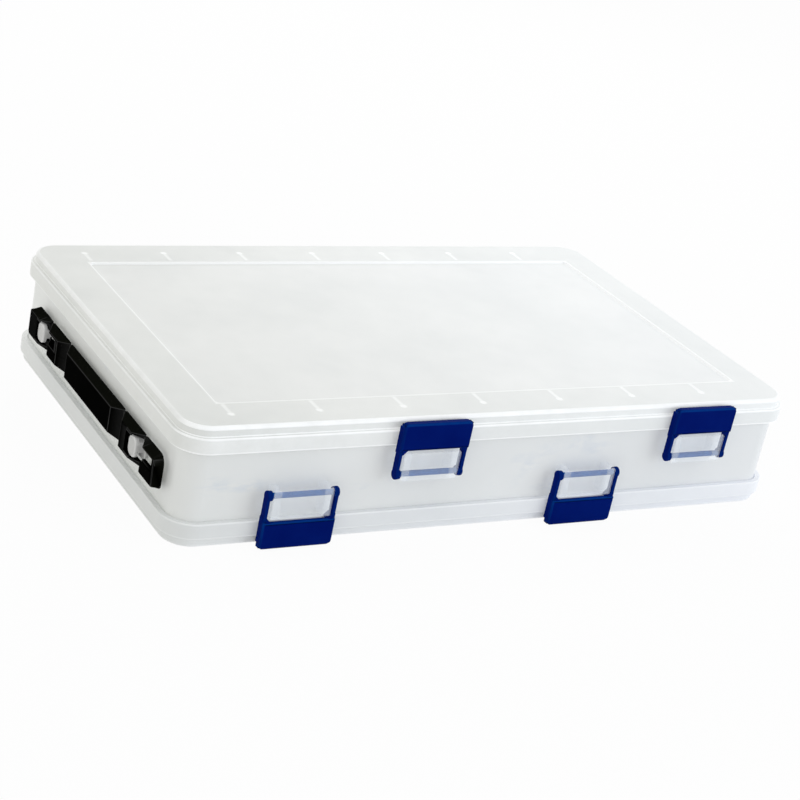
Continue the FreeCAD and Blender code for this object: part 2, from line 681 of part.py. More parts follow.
def handle_link(name, turned):
    body = new_body(name)
    plan = Drawing(body, name + "_plan", "XY", "- half_handle")
    plan.polygon([
        ("- film_side", "hinge_inner"), ("- outer_side", "hinge_inner + notch_half"),
        ("- outer_side", "hinge_outer - notch_half"), ("- film_side", "hinge_outer"),
        ("- wall_side", "hinge_outer - relief_half"),
        ("- wall_side", "hinge_inner + relief_half"),
    ])
    last = pad(body, name + "_strip", plan, "handle_high")
    round_edges(body, name + "_edge_round", last)
    for mark, along in (("inner", "hinge_inner"), ("outer", "hinge_outer")):
        bead = Drawing(body, name + "_bead_ring_" + mark, "XY", "- half_handle")
        bead.circle("- film_side", along, "film_bead")
        pad(body, name + "_bead_" + mark, bead, "handle_high")
    window = Drawing(body, name + "_window_outline", "YZ", "- outer_side - 1")
    window.rectangle("slot_start", "hinge_outer + 2", "- pocket_half", "pocket_half")
    cut(body, name + "_window", window, "handle_thick + 2")
    place_handle(body, turned, "handle_mid")


def handle_grip(name):
    body = new_body(name)
    plan = Drawing(body, name + "_plan", "XY", "- half_handle")
    plan.polygon([
        ("- film_side", "- hinge_inner"), ("- outer_side", "- hinge_inner + notch_half"),
        ("- outer_side", "hinge_inner - notch_half"), ("- film_side", "hinge_inner"),
        ("- wall_side", "hinge_inner - relief_half"),
        ("- wall_side", "- hinge_inner + relief_half"),
    ])
    last = pad(body, name + "_strip", plan, "handle_high")
    last = round_edges(body, name + "_edge_round", last)
    hollow_round(body, name + "_hollow_back", "hinge_inner", last)
    hollow_round(body, name + "_hollow_front", "- hinge_inner", last)
    place_handle(body, False, "handle_mid")


handle_end("handle_end_back", False)
handle_link("handle_link_back", False)
handle_grip("handle_grip")
handle_link("handle_link_front", True)
handle_end("handle_end_front", True)

doc.recompute()
for item in doc.Objects:
    if "Invalid" in item.State or "Error" in item.State:
        raise RuntimeError("%s is %s" % (item.Name, item.State))
    if item.TypeId == "Sketcher::SketchObject" and item.solve() != 0:
        raise RuntimeError("%s doesn't solve" % item.Name)
os.makedirs("parts", exist_ok=True)
for item in parts:
    shape = item.Shape
    if shape.isNull() or not shape.isValid() or len(shape.Solids) != 1:
        raise RuntimeError("%s has no single valid solid" % item.Label)
for item in parts:
    item.Shape.exportStep("parts/" + item.Label + ".step")
    box = item.Shape.BoundBox
    print("%-20s %10.1f mm3  X %7.2f %7.2f  Y %7.2f %7.2f  Z %6.2f %6.2f" % (
        item.Label, item.Shape.Volume, box.XMin, box.XMax, box.YMin, box.YMax, box.ZMin, box.ZMax))
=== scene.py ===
import math
from functools import partial

import bpy
import numpy as np
from mathutils import Matrix, Vector


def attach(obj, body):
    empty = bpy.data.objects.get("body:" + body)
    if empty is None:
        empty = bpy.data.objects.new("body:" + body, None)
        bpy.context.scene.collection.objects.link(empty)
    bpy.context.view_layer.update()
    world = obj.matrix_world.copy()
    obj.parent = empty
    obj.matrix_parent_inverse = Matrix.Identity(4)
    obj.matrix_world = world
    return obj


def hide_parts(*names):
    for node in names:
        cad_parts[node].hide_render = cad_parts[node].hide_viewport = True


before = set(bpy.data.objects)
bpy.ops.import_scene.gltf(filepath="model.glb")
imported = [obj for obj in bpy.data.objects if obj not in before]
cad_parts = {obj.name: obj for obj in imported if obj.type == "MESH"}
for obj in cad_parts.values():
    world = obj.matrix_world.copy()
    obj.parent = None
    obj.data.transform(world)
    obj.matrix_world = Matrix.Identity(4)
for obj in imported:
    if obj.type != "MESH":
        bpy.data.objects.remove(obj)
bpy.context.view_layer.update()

metre = 0.001  # every size below is in millimetres, angles in degrees
boxHeight = 47.0
shared = {"ribFirst": -113.5, "ribPitch": 34.6, "ribCount": 7,
          "panelCentre": (1.0, -0.5), "panelHalf": (116.0, 64.0)}
limits = {"mitre": 0.4, "turnFrom": 0.2, "turnSpan": 0.4, "hair": 0.02, "near": 0.01,
          "sharp": 35, "flatWeight": 80}
thinEdge = 0.05
print("frame loaded", len(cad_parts), "nodes")


# Rounded rectangle, anticlockwise: four quarter circles, centres one radius inside.
def roundedLoop(centre, half, radius, steps=10, away=0.0):
    half, radius = np.array(half) + away, radius + away
    turn = np.linspace(0, np.pi / 2, steps + 1)[None, :] + np.arange(4)[:, None] * np.pi / 2
    signX = np.array([1, -1, -1, 1])[:, None]
    signY = np.array([1, 1, -1, -1])[:, None]
    x = centre[0] + signX * (half[0] - radius) + radius * np.cos(turn)
    y = centre[1] + signY * (half[1] - radius) + radius * np.sin(turn)
    return np.stack([x, y], -1).reshape(-1, 2)


# Quarter circle of a profile from start to stop; the tangent at start points to corner.
def quarter(start, corner, stop, steps=5):
    start, corner, stop = (np.array(p, float) for p in (start, corner, stop))
    angle = np.linspace(0, np.pi / 2, steps + 1)[:, None]
    return start + (corner - start) * np.sin(angle) + (stop - corner) * (1 - np.cos(angle))


# Circular arc in the plane, both ends included: centre plus radius times cosine and sine.
def arc(centre, radius, start, stop, steps):
    angle = np.radians(np.linspace(start, stop, steps + 1))
    return np.array(centre) + radius * np.stack([np.cos(angle), np.sin(angle)], -1)


# Half the sum of x times the next y less y times the next x; positive when anticlockwise.
def signedArea(outline):
    x, y = outline[:, 0], outline[:, 1]
    return 0.5 * np.sum(x * np.roll(y, -1) - y * np.roll(x, -1))


# Every corner moves inwards by the distance times the sum of the two sides' inward normals
# over one plus their dot product.
def insetOutline(outline, inset):
    ahead = np.roll(outline, -1, 0) - outline
    ahead /= np.maximum(np.linalg.norm(ahead, axis=1, keepdims=True), 1e-9)
    inward = np.stack([-ahead[:, 1], ahead[:, 0]], -1)
    before = np.roll(inward, 1, 0)
    share = 1 + np.sum(inward * before, 1, keepdims=True)
    return outline + inset * (inward + before) / np.maximum(share, limits["mitre"])


# Grid of loops to faces: each point joins its neighbours on its loop and on the next. The
# end loops are filled, or joined in a ring.
def gridFaces(loops, around, ring=False):
    i = np.arange(loops if ring else loops - 1)[:, None]
    j = np.arange(around)[None, :]
    nextI, nextJ = (i + 1) % loops, (j + 1) % around
    quads = np.stack([i * around + j, i * around + nextJ,
                      nextI * around + nextJ, nextI * around + j], -1).reshape(-1, 4)
    faces = quads.tolist()
    if not ring:
        last = (loops - 1) * around
        faces += [list(range(around))[::-1], list(range(last, last + around))]
    return faces


# How tightly a grid turns at each point along one direction: the angle between the steps
# before and after over the longer step, as a share of a span; it places painted edge highlights.
def edgeTurn(rows, axis, closed):
    after = np.roll(rows, -1, axis) - rows
    before = np.roll(after, 1, axis)
    far, near = np.linalg.norm(after, axis=-1), np.linalg.norm(before, axis=-1)
    cosine = np.sum(after * before, -1) / np.maximum(far * near, 1e-9)
    tight = np.arccos(np.clip(cosine, -1, 1)) / np.maximum(np.maximum(far, near), 1e-3)
    tight = np.clip((tight - limits["turnFrom"]) / limits["turnSpan"], 0, 1)
    if not closed:
        tight[0], tight[-1] = 0, 0
    return tight


# Closed shell from rows of points, with a mask of painted edge highlights and a mark. Its
# volume is the sum of the tetrahedra under its faces; where that is negative the faces are turned
# round.
def shell(rows, ring=False, corners=True):
    loops, around = rows.shape[:2]
    points = rows.reshape(-1, 3)
    edge = edgeTurn(rows, 0, ring)
    if corners:
        edge = np.maximum(edge, edgeTurn(rows, 1, True))
    if not ring:
        edge[[0, -1]] = 0
    edgeLightAndMark = np.column_stack([edge.ravel(), np.zeros((edge.size, 2))])
    faces = gridFaces(loops, around, ring)
    volume = 0.0
    middle = points.mean(0)
    for face in faces:
        corner = points[face] - middle
        volume += np.sum(np.cross(corner[1:-1], corner[2:]) @ corner[0])
    if volume < 0:
        faces = [face[::-1] for face in faces]
    return points, faces, edgeLightAndMark


planes = {"x": (1, 2, 0), "y": (0, 2, 1), "z": (0, 1, 2)}


# A flat loop set in the plane across an axis, at its place along it.
def setLoop(flat, axis, place):
    made = np.zeros((len(flat), 3))
    a, b, c = planes[axis]
    made[:, a], made[:, b], made[:, c] = flat[:, 0], flat[:, 1], place
    return made


# An outline carried along an axis; each end draws in along a quarter circle.
def slab(outline, axis, start, stop, edges, steps=3):
    first, last = np.broadcast_to(edges, 2)
    if signedArea(outline) < 0:
        outline = outline[::-1]
    angle = np.linspace(0, np.pi / 2, steps + 1)
    inset = [first * (1 - np.sin(angle)), last * (1 - np.cos(angle))]
    along = [start + first * (1 - np.cos(angle)), stop - last * (1 - np.sin(angle))]
    rows = []
    for shift, place in zip(np.concatenate(inset), np.concatenate(along)):
        rows.append(setLoop(insetOutline(outline, shift) if shift else outline, axis, place))
    return shell(np.array(rows))


# Block between two corners, a rounded rectangle carried along an axis.
def block(low, high, axis, edge, corner=None, steps=3):
    a, b, c = planes[axis]
    low, high = np.array(low, float), np.array(high, float)
    centre, half = (low + high) / 2, (high - low) / 2
    loop = roundedLoop((centre[a], centre[b]), (half[a], half[b]), corner or edge * 1.1, steps)
    return slab(loop, axis, low[c], high[c], edge, steps)


# Rod: a circle of equal steps, carried along an axis.
def rodShell(centre, radius, axis, start, stop, edge=0.15, around=24):
    circle = arc(centre, radius, 0, 360 - 360 / around, around - 1)
    return slab(circle, axis, start, stop, edge, 2)


# Two places on one side of the middle or the other, in rising order.
def mirrored(side, first, second):
    return sorted((side * first, side * second))


# Several sizes of one dictionary, their names in a line of text.
def pick(s, names):
    return [s[name] for name in names.split()]


# Share that rises in a straight line from 0 where a band starts to 1 where it ends.
def ramp(value, start, width):
    return np.clip((value - start) / width, 0, 1)


# Pieces hang down from the lid's outer face, as in the CAD: the upper side rises by the
# box's height, the lower one is turned half round about Y.
def onSide(turned, x=0.0):
    if turned:
        return lambda points: points * (-1, 1, -1) + (x, 0, 0)
    return lambda points: points + (x, 0, boxHeight)


# A new object of the scene with its data.
def addObject(name, data):
    made = bpy.data.objects.new(name, data)
    bpy.context.scene.collection.objects.link(made)
    return made


# One piece: each shell's face indices rise by the points before it, points are placed and
# scaled to metres, and edges sharper than an angle stay sharp.
def makePiece(name, shells, plastic, body, place=None):
    points, faces, edgeLightAndMark, base = [], [], [], 0
    for shellPoints, shellFaces, shellEdgeLightAndMark in shells:
        points.append(place(shellPoints) if place else shellPoints)
        edgeLightAndMark.append(shellEdgeLightAndMark)
        faces += [[index + base for index in face] for face in shellFaces]
        base += len(shellPoints)
    mesh = bpy.data.meshes.new(name)
    mesh.from_pydata((np.concatenate(points) * metre).tolist(), [], faces)
    # This attribute holds the painted edge highlights and the mark.
    held = mesh.attributes.new("edgeLightAndMark", "FLOAT_VECTOR", "POINT")
    held.data.foreach_set("vector", np.concatenate(edgeLightAndMark).astype(np.float32).ravel())
    mesh.polygons.foreach_set("use_smooth", np.ones(len(mesh.polygons), bool))
    mesh.set_sharp_from_angle(angle=math.radians(limits["sharp"]))
    mesh.materials.append(plastic["material"])
    piece = addObject(name, mesh)
    weighted = piece.modifiers.new("flatFaces", "WEIGHTED_NORMAL")
    weighted.keep_sharp, weighted.weight = True, limits["flatWeight"]
    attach(piece, body)
    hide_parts(name)
    return piece


# A node group of numbers, with its arithmetic and inner ends; inputs have their defaults.
def newGroup(name, inputs, outputs):
    group = bpy.data.node_groups.new(name, "ShaderNodeTree")
    for way, labels in (("INPUT", inputs), ("OUTPUT", outputs)):
        for label in labels:
            made = group.interface.new_socket(name=label, in_out=way, socket_type="NodeSocketFloat")
            if way == "INPUT":
                made.default_value = inputs[label]
    given, result = group.nodes.new("NodeGroupInput"), group.nodes.new("NodeGroupOutput")
    return group, partial(calc, group), given.outputs, result.inputs


# A node with its settings and inputs.
def addNode(tree, kind, settings=None, **values):
    made = tree.nodes.new("ShaderNode" + kind)
    for key, value in (settings or {}).items():
        setattr(made, key, value)
    return fillAll(tree, made, values)


# Inputs of a node, by label or number: each takes a link where it is given a socket, and
# else a value.
def fillAll(tree, made, values):
    for label, value in values.items():
        if isinstance(value, bpy.types.NodeSocket):
            tree.links.new(value, made.inputs[label])
        else:
            made.inputs[label].default_value = value
    return made


# One step of arithmetic on up to three numbers.
def calc(tree, operation, *values, clamp=False):
    made = addNode(tree, "Math", {"operation": operation, "use_clamp": clamp})
    return fillAll(tree, made, dict(enumerate(values))).outputs[0]


# A number taken from one range to another, straight or eased, and held there.
def carry(tree, value, source, target=(0.0, 1.0), eased=False):
    way = {"interpolation_type": "SMOOTHSTEP" if eased else "LINEAR"}
    made = addNode(tree, "MapRange", way, Value=value)
    labels = ("From Min", "From Max", "To Min", "To Max")
    return fillAll(tree, made, dict(zip(labels, (*source, *target)))).outputs["Result"]


# Value of a noise at a place.
def noise(tree, where, scale, detail, rough=0.5):
    return addNode(tree, "TexNoise", Vector=where, Scale=scale, Detail=detail,
                   Roughness=rough).outputs[0]


# Two tints mixed by a factor; each is a link or red, green and blue.
def mixTint(tree, factor, *tints, blend="MIX"):
    made = addNode(tree, "Mix", {"data_type": "RGBA", "blend_type": blend}, Factor=factor)
    tints = [(*tint, 1) if isinstance(tint, tuple) else tint for tint in tints]
    return fillAll(tree, made, dict(enumerate(tints, 6))).outputs[2]


# A group set in a tree, with the inputs named.
def useGroup(tree, group, **values):
    return fillAll(tree, addNode(tree, "Group", {"node_tree": group}), values).outputs


# The results of a group, by label.
def giveOut(group, result, **values):
    for label, value in values.items():
        group.links.new(value, result[label])
    return group


mouldSizes = {"ends": (-0.135, 0.135), "cloudSize": 40.0, "cloudDetail": 3.0, "mottleTimes": 7.0,
              "mottleDetail": 4.0, "grainSize": 1800.0, "grainDetail": 2.0, "fineRough": 0.6}


# Moulded surface: clouds of tint, a mottle and fine grain. The height is grain times its
# share plus mottle times the rest; Along is the share of the way along X, which changes the painted
# glow towards the left end.
def buildMouldGroup(s):
    group, do, given, result = newGroup(
        "mouldedSurface",
        {"Cloud size": s["cloudSize"], "Grain size": s["grainSize"], "Grain share": 0.5},
        ("Cloud", "Mottle", "Height", "Along"))
    where = addNode(group, "TexCoord").outputs["Object"]
    x = addNode(group, "SeparateXYZ", Vector=where).outputs["X"]
    cloud = noise(group, where, given["Cloud size"], s["cloudDetail"])
    middle = do("MULTIPLY", given["Cloud size"], s["mottleTimes"])
    mottle = noise(group, where, middle, s["mottleDetail"], s["fineRough"])
    grain = noise(group, where, given["Grain size"], s["grainDetail"], s["fineRough"])
    rest = do("SUBTRACT", 1.0, given["Grain share"])
    height = do("ADD", do("MULTIPLY", grain, given["Grain share"]), do("MULTIPLY", mottle, rest))
    return giveOut(group, result, Cloud=cloud, Mottle=mottle, Height=height,
                   Along=carry(group, x, s["ends"]))


edgeHighlightSizes = {"broken": 0.9, "whole": 0.5}


# Painted highlights on thin edges: the attribute's edge part times mottle times one share
# plus another, so that no edge is evenly bright; the mark passes as it is.
def buildEdgeHighlightGroup(s):
    group, do, given, result = newGroup(
        "paintedEdgeLight", {"Mottle": 0.5, "Amount": 0.5}, ("Mask", "Mark"))
    edgeLightAndMark = addNode(group, "Attribute", {"attribute_name": "edgeLightAndMark"}).outputs["Vector"]
    split = addNode(group, "SeparateXYZ", Vector=edgeLightAndMark).outputs
    broken = do("MULTIPLY_ADD", given["Mottle"], s["broken"], s["whole"])
    lit = do("MULTIPLY", split["X"], broken)
    mask = do("MULTIPLY", lit, given["Amount"], clamp=True)
    return giveOut(group, result, Mask=mask, Mark=split["Y"])


patchSizes = {"drawn": (0.45, 0.45, 1.0), "broad": (62.0, 2.0, (0.59, 0.70)),
              "fine": (420.0, 4.0, (0.42, 0.62))}


# Bluish patches: where a drawn-out noise passes a threshold, times a finer noise.
def buildPatchGroup(s):
    group, do, given, result = newGroup("bluishPatches", {"Amount": 0.5}, ("Mask",))
    where = addNode(group, "TexCoord").outputs["Object"]
    drawn = addNode(group, "Mapping", Vector=where, Scale=s["drawn"]).outputs[0]
    patch, streak = (carry(group, noise(group, drawn, size, detail), band)
                     for size, detail, band in (s["broad"], s["fine"]))
    both = do("MULTIPLY", patch, streak)
    return giveOut(group, result, Mask=do("MULTIPLY", both, given["Amount"]))


mouldGroup = buildMouldGroup(mouldSizes)
edgeHighlightGroup = buildEdgeHighlightGroup(edgeHighlightSizes)
patchGroup = buildPatchGroup(patchSizes)
dressRanges = {"cloud": (0.32, 0.68), "mottle": (0.3, 0.7)}


# Clouds go between two tints, then bluish patches, the mark and painted edge highlights take
# over by their masks; mottle gives the roughness, and emission paints a glow for light inside the
# plastic, changed towards the left end and whiter on edges.
def dressPlastic(tree, shader, look):
    surface = useGroup(tree, mouldGroup, **{
        "Cloud size": look["cloudSize"], "Grain size": look["grainSize"],
        "Grain share": look["grainShare"]})
    glow = useGroup(tree, edgeHighlightGroup, Amount=look["edge"], Mottle=surface["Mottle"])
    cloud = carry(tree, surface["Cloud"], dressRanges["cloud"])
    tint = mixTint(tree, cloud, look["darkTint"], look["paleTint"])
    if "patchTint" in look:
        tint = mixTint(tree, useGroup(tree, patchGroup)["Mask"], tint, look["patchTint"])
    if "rodToneAndLitTopTint" in look:
        tint = mixTint(tree, glow["Mark"], tint, look["rodToneAndLitTopTint"])
    # Painted edge highlights: the colour turns towards a pale tint on edges.
    lit = mixTint(tree, glow["Mask"], tint, look["paintedHighlightTint"])
    rough = carry(tree, surface["Mottle"], dressRanges["mottle"], look["rough"])
    bump = addNode(tree, "Bump", Height=surface["Height"], Strength=look["bump"],
                   Distance=look["bumpDepth"] * metre).outputs["Normal"]
    fillAll(tree, shader, {"Base Color": lit, "Roughness": rough, "Normal": bump})
    # Painted glow: emission of one tint, another at the left end, whiter on the edges.
    if "paintedGlowTint" in look:
        paintedGlow = look["paintedGlowTint"]
        if "leftEndGlowTint" in look:
            paintedGlow = mixTint(tree, surface["Along"], look["leftEndGlowTint"], paintedGlow)
        bright = mixTint(tree, glow["Mask"], paintedGlow, look["paintedEdgeGlowTint"])
        fillAll(tree, shader, {"Emission Strength": look["paintedGlow"], "Emission Color": bright})
    return lit


plainLook = {"grainSize": 2600.0, "cloudSize": 60.0, "bumpDepth": 0.05, "rough": (0.30, 0.42)}
# Upper lid: painted white highlights on its edges and a painted glow by emission, dimmer at the
# left end.
frostedLook = {
    **plainLook,
    "darkTint": (0.730, 0.742, 0.740), "paleTint": (0.785, 0.792, 0.788), "cloudSize": 22.0,
    "grainShare": 0.55, "bump": 0.12, "edge": 1.0, "paintedHighlightTint": (0.90, 0.91, 0.92),
    "paintedGlow": 0.25, "paintedGlowTint": (0.64, 0.67, 0.70), "paintedEdgeGlowTint": (1.0, 1.0, 1.0),
    "leftEndGlowTint": (0.13, 0.13, 0.07), "slot": "frosted", "values": {},
}
# Lower lid: the same plastic with fainter painted edge highlights and a bluer painted glow.
lowerLook = {**frostedLook, "edge": 0.38, "paintedGlowTint": (0.58, 0.62, 0.82),
             "leftEndGlowTint": (0.33, 0.34, 0.34)}
# Case: fainter painted edge highlights and a painted glow by emission, stronger at the left end;
# bluish patches.
caseLook = {
    **frostedLook, "darkTint": (0.735, 0.745, 0.745), "paleTint": (0.785, 0.792, 0.790),
    "paintedGlowTint": (0.38, 0.40, 0.43), "leftEndGlowTint": (0.45, 0.46, 0.42), "edge": 0.4,
    "patchTint": (0.58, 0.63, 0.70),
}
# Pegs: a darker copy of the case's plastic, painted shade from the handle round them, with painted
# edge highlights and a dim painted glow.
shadedPegLook = {
    **caseLook, "darkTint": (0.50, 0.50, 0.49), "paleTint": (0.60, 0.60, 0.59),
    "paintedGlowTint": (0.2, 0.2, 0.2), "leftEndGlowTint": (0.2, 0.2, 0.2), "paintedHighlightTint": (0.7, 0.7, 0.7),
    "slot": "clear",
}
# Clear plastic: painted highlights on its edges and a painted glow by emission that lifts the shade
# behind it.
clearLook = {
    **plainLook, "darkTint": (0.84, 0.88, 0.93), "paleTint": (0.92, 0.95, 0.98),
    "grainShare": 0.4, "rough": (0.22, 0.32), "bump": 0.08, "edge": 0.8,
    "paintedHighlightTint": (0.97, 0.98, 0.99), "paintedGlow": 0.6, "paintedGlowTint": (0.45, 0.49, 0.54),
    "paintedEdgeGlowTint": (0.8, 0.8, 0.8),
    "slot": "clear", "values": {"Alpha": 0.10},
}
# Latch blue: painted highlights on edges; the mark is the rod's own lighter blue.
blueLook = {
    **plainLook, "darkTint": (0.0003, 0.0068, 0.125), "paleTint": (0.0007, 0.0105, 0.150),
    "cloudSize": 70.0, "grainSize": 3000.0, "grainShare": 0.6, "bump": 0.10,
    "bumpDepth": 0.04, "edge": 0.7, "paintedHighlightTint": (0.0015, 0.045, 0.25),
    "rodToneAndLitTopTint": (0.002, 0.185, 0.52), "slot": "latch_blue",
    "values": {"IOR": 1.46, "Specular IOR Level": 0.006},
}
# Handle black: painted highlights on edges; the marked faces get a painted lighter tone, as if lit
# from above.
blackLook = {
    **plainLook, "darkTint": (0.0003, 0.0004, 0.0002), "paleTint": (0.0009, 0.0009, 0.0007),
    "grainSize": 2200.0, "grainShare": 0.7, "rough": (0.38, 0.52), "bump": 0.2, "edge": 0.5,
    "paintedHighlightTint": (0.085, 0.085, 0.085), "rodToneAndLitTopTint": (0.0052, 0.0056, 0.0042), "slot": "handle_black",
    "values": {"IOR": 1.46, "Specular IOR Level": 0.0005},
}
# The line is a painted highlight along the panel's edge.
ribLook = {
    "width": (0.2, 1.3), "start": (65.0, 66.2), "stop": (73.7, 74.7), "spotAt": 73.4,
    "spot": (0.57, 1.9), "tint": (0.96, 0.97, 0.97), "share": 0.6, "ringFade": (-0.3, 0.6),
    "ring": (0.968, 0.972, 0.965), "lineAt": 0.1, "line": (0.25, 1.0), "lineShare": 0.7,
}


# Ribs showing through a lid, and a painted highlight along the panel's edge. Along X the distance
# to the nearest rib is the pitch times that to the nearest whole number; along Y a rib runs from
# start to stop, with a brighter spot at its end. The ring is the larger distance beyond the panel;
# the line, the painted highlight, is a thin band just outside it.
def buildRibGroup(look):
    group, do, given, result = newGroup("ribsThrough", {"Side": 1.0}, ("Ribs", "Ring", "Line"))
    where = addNode(group, "TexCoord").outputs["Object"]
    split = addNode(group, "SeparateXYZ", Vector=where).outputs

    def fade(value, band):
        return carry(group, value, band, (1.0, 0.0), True)

    x = do("MULTIPLY", do("MULTIPLY", split["X"], 1 / metre), given["Side"])
    y = do("MULTIPLY", split["Y"], 1 / metre)
    step = do("DIVIDE", do("SUBTRACT", x, shared["ribFirst"]), shared["ribPitch"])
    held = do("MINIMUM", do("MAXIMUM", do("ROUND", step), 0.0), shared["ribCount"] - 1.0)
    away = do("ABSOLUTE", do("MULTIPLY", do("SUBTRACT", step, held), shared["ribPitch"]))
    out = do("ABSOLUTE", y)
    beyond = do("SUBTRACT", 1.0, fade(out, look["start"]))
    within = do("MULTIPLY", fade(away, look["width"]), beyond)
    rib = do("MULTIPLY", within, fade(out, look["stop"]))
    spotY = do("SUBTRACT", out, look["spotAt"])
    reach = do("SQRT", do("ADD", do("POWER", away, 2.0), do("POWER", spotY, 2.0)))
    ribs = do("MAXIMUM", do("MULTIPLY", rib, look["share"]), fade(reach, look["spot"]))
    ringX, ringY = (
        do("SUBTRACT", do("ABSOLUTE", do("SUBTRACT", value, centre)), half)
        for value, centre, half in zip((x, y), shared["panelCentre"], shared["panelHalf"]))
    outside = do("MAXIMUM", ringX, ringY)
    ring = do("SUBTRACT", 1.0, fade(outside, look["ringFade"]))
    line = fade(do("ABSOLUTE", do("SUBTRACT", outside, look["lineAt"])), look["line"])
    return giveOut(group, result, Ribs=ribs, Ring=ring, Line=line)


ribGroup = buildRibGroup(ribLook)


# A material of one shader with the inputs named.
def newMaterial(name, values):
    material = bpy.data.materials.new(name)
    material.use_nodes = True
    tree = material.node_tree
    return material, tree, fillAll(tree, tree.nodes["Principled BSDF"], values)


# Plastic of one look. On a lid, side 1 or -1, the strips round the panel are toned, and
# ribs and a painted highlight along the panel's edge take over by their masks.
def makePlastic(name, look, side=None):
    values = {"IOR": 1.49, "Specular IOR Level": 0.3, **look["values"]}
    material, tree, shader = newMaterial(name, values)
    lit = dressPlastic(tree, shader, look)
    if side:
        ribs = useGroup(tree, ribGroup, Side=side)
        dull = mixTint(tree, ribs["Ring"], (1, 1, 1), ribLook["ring"])
        toned = mixTint(tree, 1.0, lit, dull, blend="MULTIPLY")
        line = calc(tree, "MULTIPLY", ribs["Line"], ribLook["lineShare"])
        strokes = calc(tree, "MAXIMUM", ribs["Ribs"], line)
        fillAll(tree, shader, {"Base Color": mixTint(tree, strokes, toned, ribLook["tint"])})
    return {"material": material, "slot": look["slot"]}


frosted = makePlastic("frostedCase", caseLook)
lidFrosted = {False: makePlastic("frostedLidUpper", frostedLook, 1.0),
              True: makePlastic("frostedLidLower", lowerLook, -1.0)}
shadedPegFrosted = makePlastic("frostedPegShaded", shadedPegLook)
clear = makePlastic("clearPlastic", clearLook)
blue = makePlastic("latchBlue", blueLook)
black = makePlastic("handleBlack", blackLook)
print("materials made")


# Shares of the painted edge highlights: of all edges, at the front, back and left; then painted
# light on each tier's face.
lidSizes = {
    "half": (135.0, 84.5), "corner": 12.0, "depth": 10.0, "ledge": 3.8, "ledgeIn": 1.5,
    "topRound": 1.4, "plate": 1.6, "panelCorner": 2.0, "panelDrop": 0.8, "seat": 4.1,
    "inner": 2.2, "innerTop": 3.2, "fillet": 0.3, "rim": 0.25, "step": 0.35, "ledgeRound": 0.5,
    "foot": 0.4, "guard": 0.2, "panelStart": 1.2, "panelStop": 0.5, "underStart": 2.0,
    "ribEnd": 74.0, "ribWidth": 1.2, "ribLow": 3.6, "ribTop": 1.5, "ribSunk": 0.2,
    "ribBack": 0.4, "front": (72.0, 12.0), "left": (120.0, 12.0), "right": (10.0, 70.0),
    "edgeHighlightShares": (0.35, 0.65, 0.3, 0.2), "tierPaintedLight": (0.32, 0.75), "skirtPaintedLight": (0.5, 0.45, 0.95),
}


# Profile of a lid as runs of distance outwards and depth: over the panel's edge, down the
# skirt's two tiers and up inside, and under the panel's edge.
def lidProfile(s):
    drop, plate, ledge, far = pick(s, "panelDrop plate ledge depth")
    fillet, rim, foot, guard = pick(s, "fillet rim foot guard")
    tier, curve, step, lip = pick(s, "ledgeIn topRound step ledgeRound")
    inner, innerTop, seat = pick(s, "inner innerTop seat")
    panel = np.concatenate([
        [(-s["panelStart"], drop)],
        quarter((-fillet, drop), (0, drop), (0, drop - fillet), 4),
        quarter((0, rim), (0, 0), (rim, 0), 4), [(s["panelStop"], 0)]])
    outer = np.concatenate([
        [(tier + curve + foot, 0)],
        quarter((tier + curve, 0), (tier, 0), (tier, curve), 7),
        quarter((tier, ledge - step), (tier, ledge), (tier - step, ledge), 3),
        quarter((lip, ledge), (0, ledge), (0, ledge + lip), 5),
        [(0, ledge + lip + fillet), (0, far - foot - fillet)],
        quarter((0, far - foot), (0, far), (foot, far), 4),
        quarter((inner - fillet, far), (inner, far), (inner, far - fillet), 3),
        [(inner, seat + guard), (inner, seat), (innerTop - guard, seat), (innerTop, seat)],
        quarter((innerTop, plate + foot), (innerTop, plate), (innerTop + foot, plate), 3)])
    under = [(s["underStart"], plate), (plate, plate), (plate, plate + drop - rim),
             (plate - rim, plate + drop), (foot, plate + drop)]
    return panel, outer * (-1, 1), under


# The lid's profile carried round two rounded rectangles. Edges get painted highlights by shares
# for front, back and left; the two tiers' faces get painted light by their own.
def lidShell(s):
    panel, outer, under = lidProfile(s)
    inside = (shared["panelCentre"], shared["panelHalf"], s["panelCorner"])
    outside = ((0, 0), s["half"], s["corner"])
    rows = []
    for run, (centre, half, corner) in ((panel, inside), (outer, outside), (under, inside)):
        for away, depth in run:
            loop = roundedLoop(centre, half, corner, 12, away)
            rows.append(setLoop(loop, "z", -depth))
    made = shell(np.array(rows), corners=False)
    x, y = made[0][:, 0], made[0][:, 1]
    toFront, toBack = ramp(-y, *s["front"]), ramp(y, *s["front"])
    toLeft, toRight = ramp(-x, *s["left"]), ramp(x, *s["right"])
    every, front, back, left = s["edgeHighlightShares"]
    made[2][:, 0] *= np.minimum(every + front * toFront + back * toBack + left * toLeft, 1)
    # Painted light on the faces of both tiers of the skirt, strongest at the front and left.
    amount, left = s["tierPaintedLight"]
    tier = amount * np.maximum(toFront, left * toLeft)
    amount, left, right = s["skirtPaintedLight"]
    skirt = amount * np.maximum(toFront * (1 - right * toRight), left * toLeft)
    ledge, near, fillet = s["ledge"], limits["near"], s["fillet"]
    faces = ((s["ledgeIn"], s["topRound"], ledge - s["step"], tier),
             (0, ledge + s["ledgeRound"] + fillet, s["depth"] - s["foot"] - fillet, skirt))
    around = made[2].reshape(len(rows), -1, 3)
    for inset, top, bottom, glow in faces:
        for i, (away, depth) in enumerate(outer, len(panel)):
            if abs(away + inset) < near and top - near < depth < bottom + near:
                around[i, :, 0] = glow.reshape(len(rows), -1)[i]
    return made


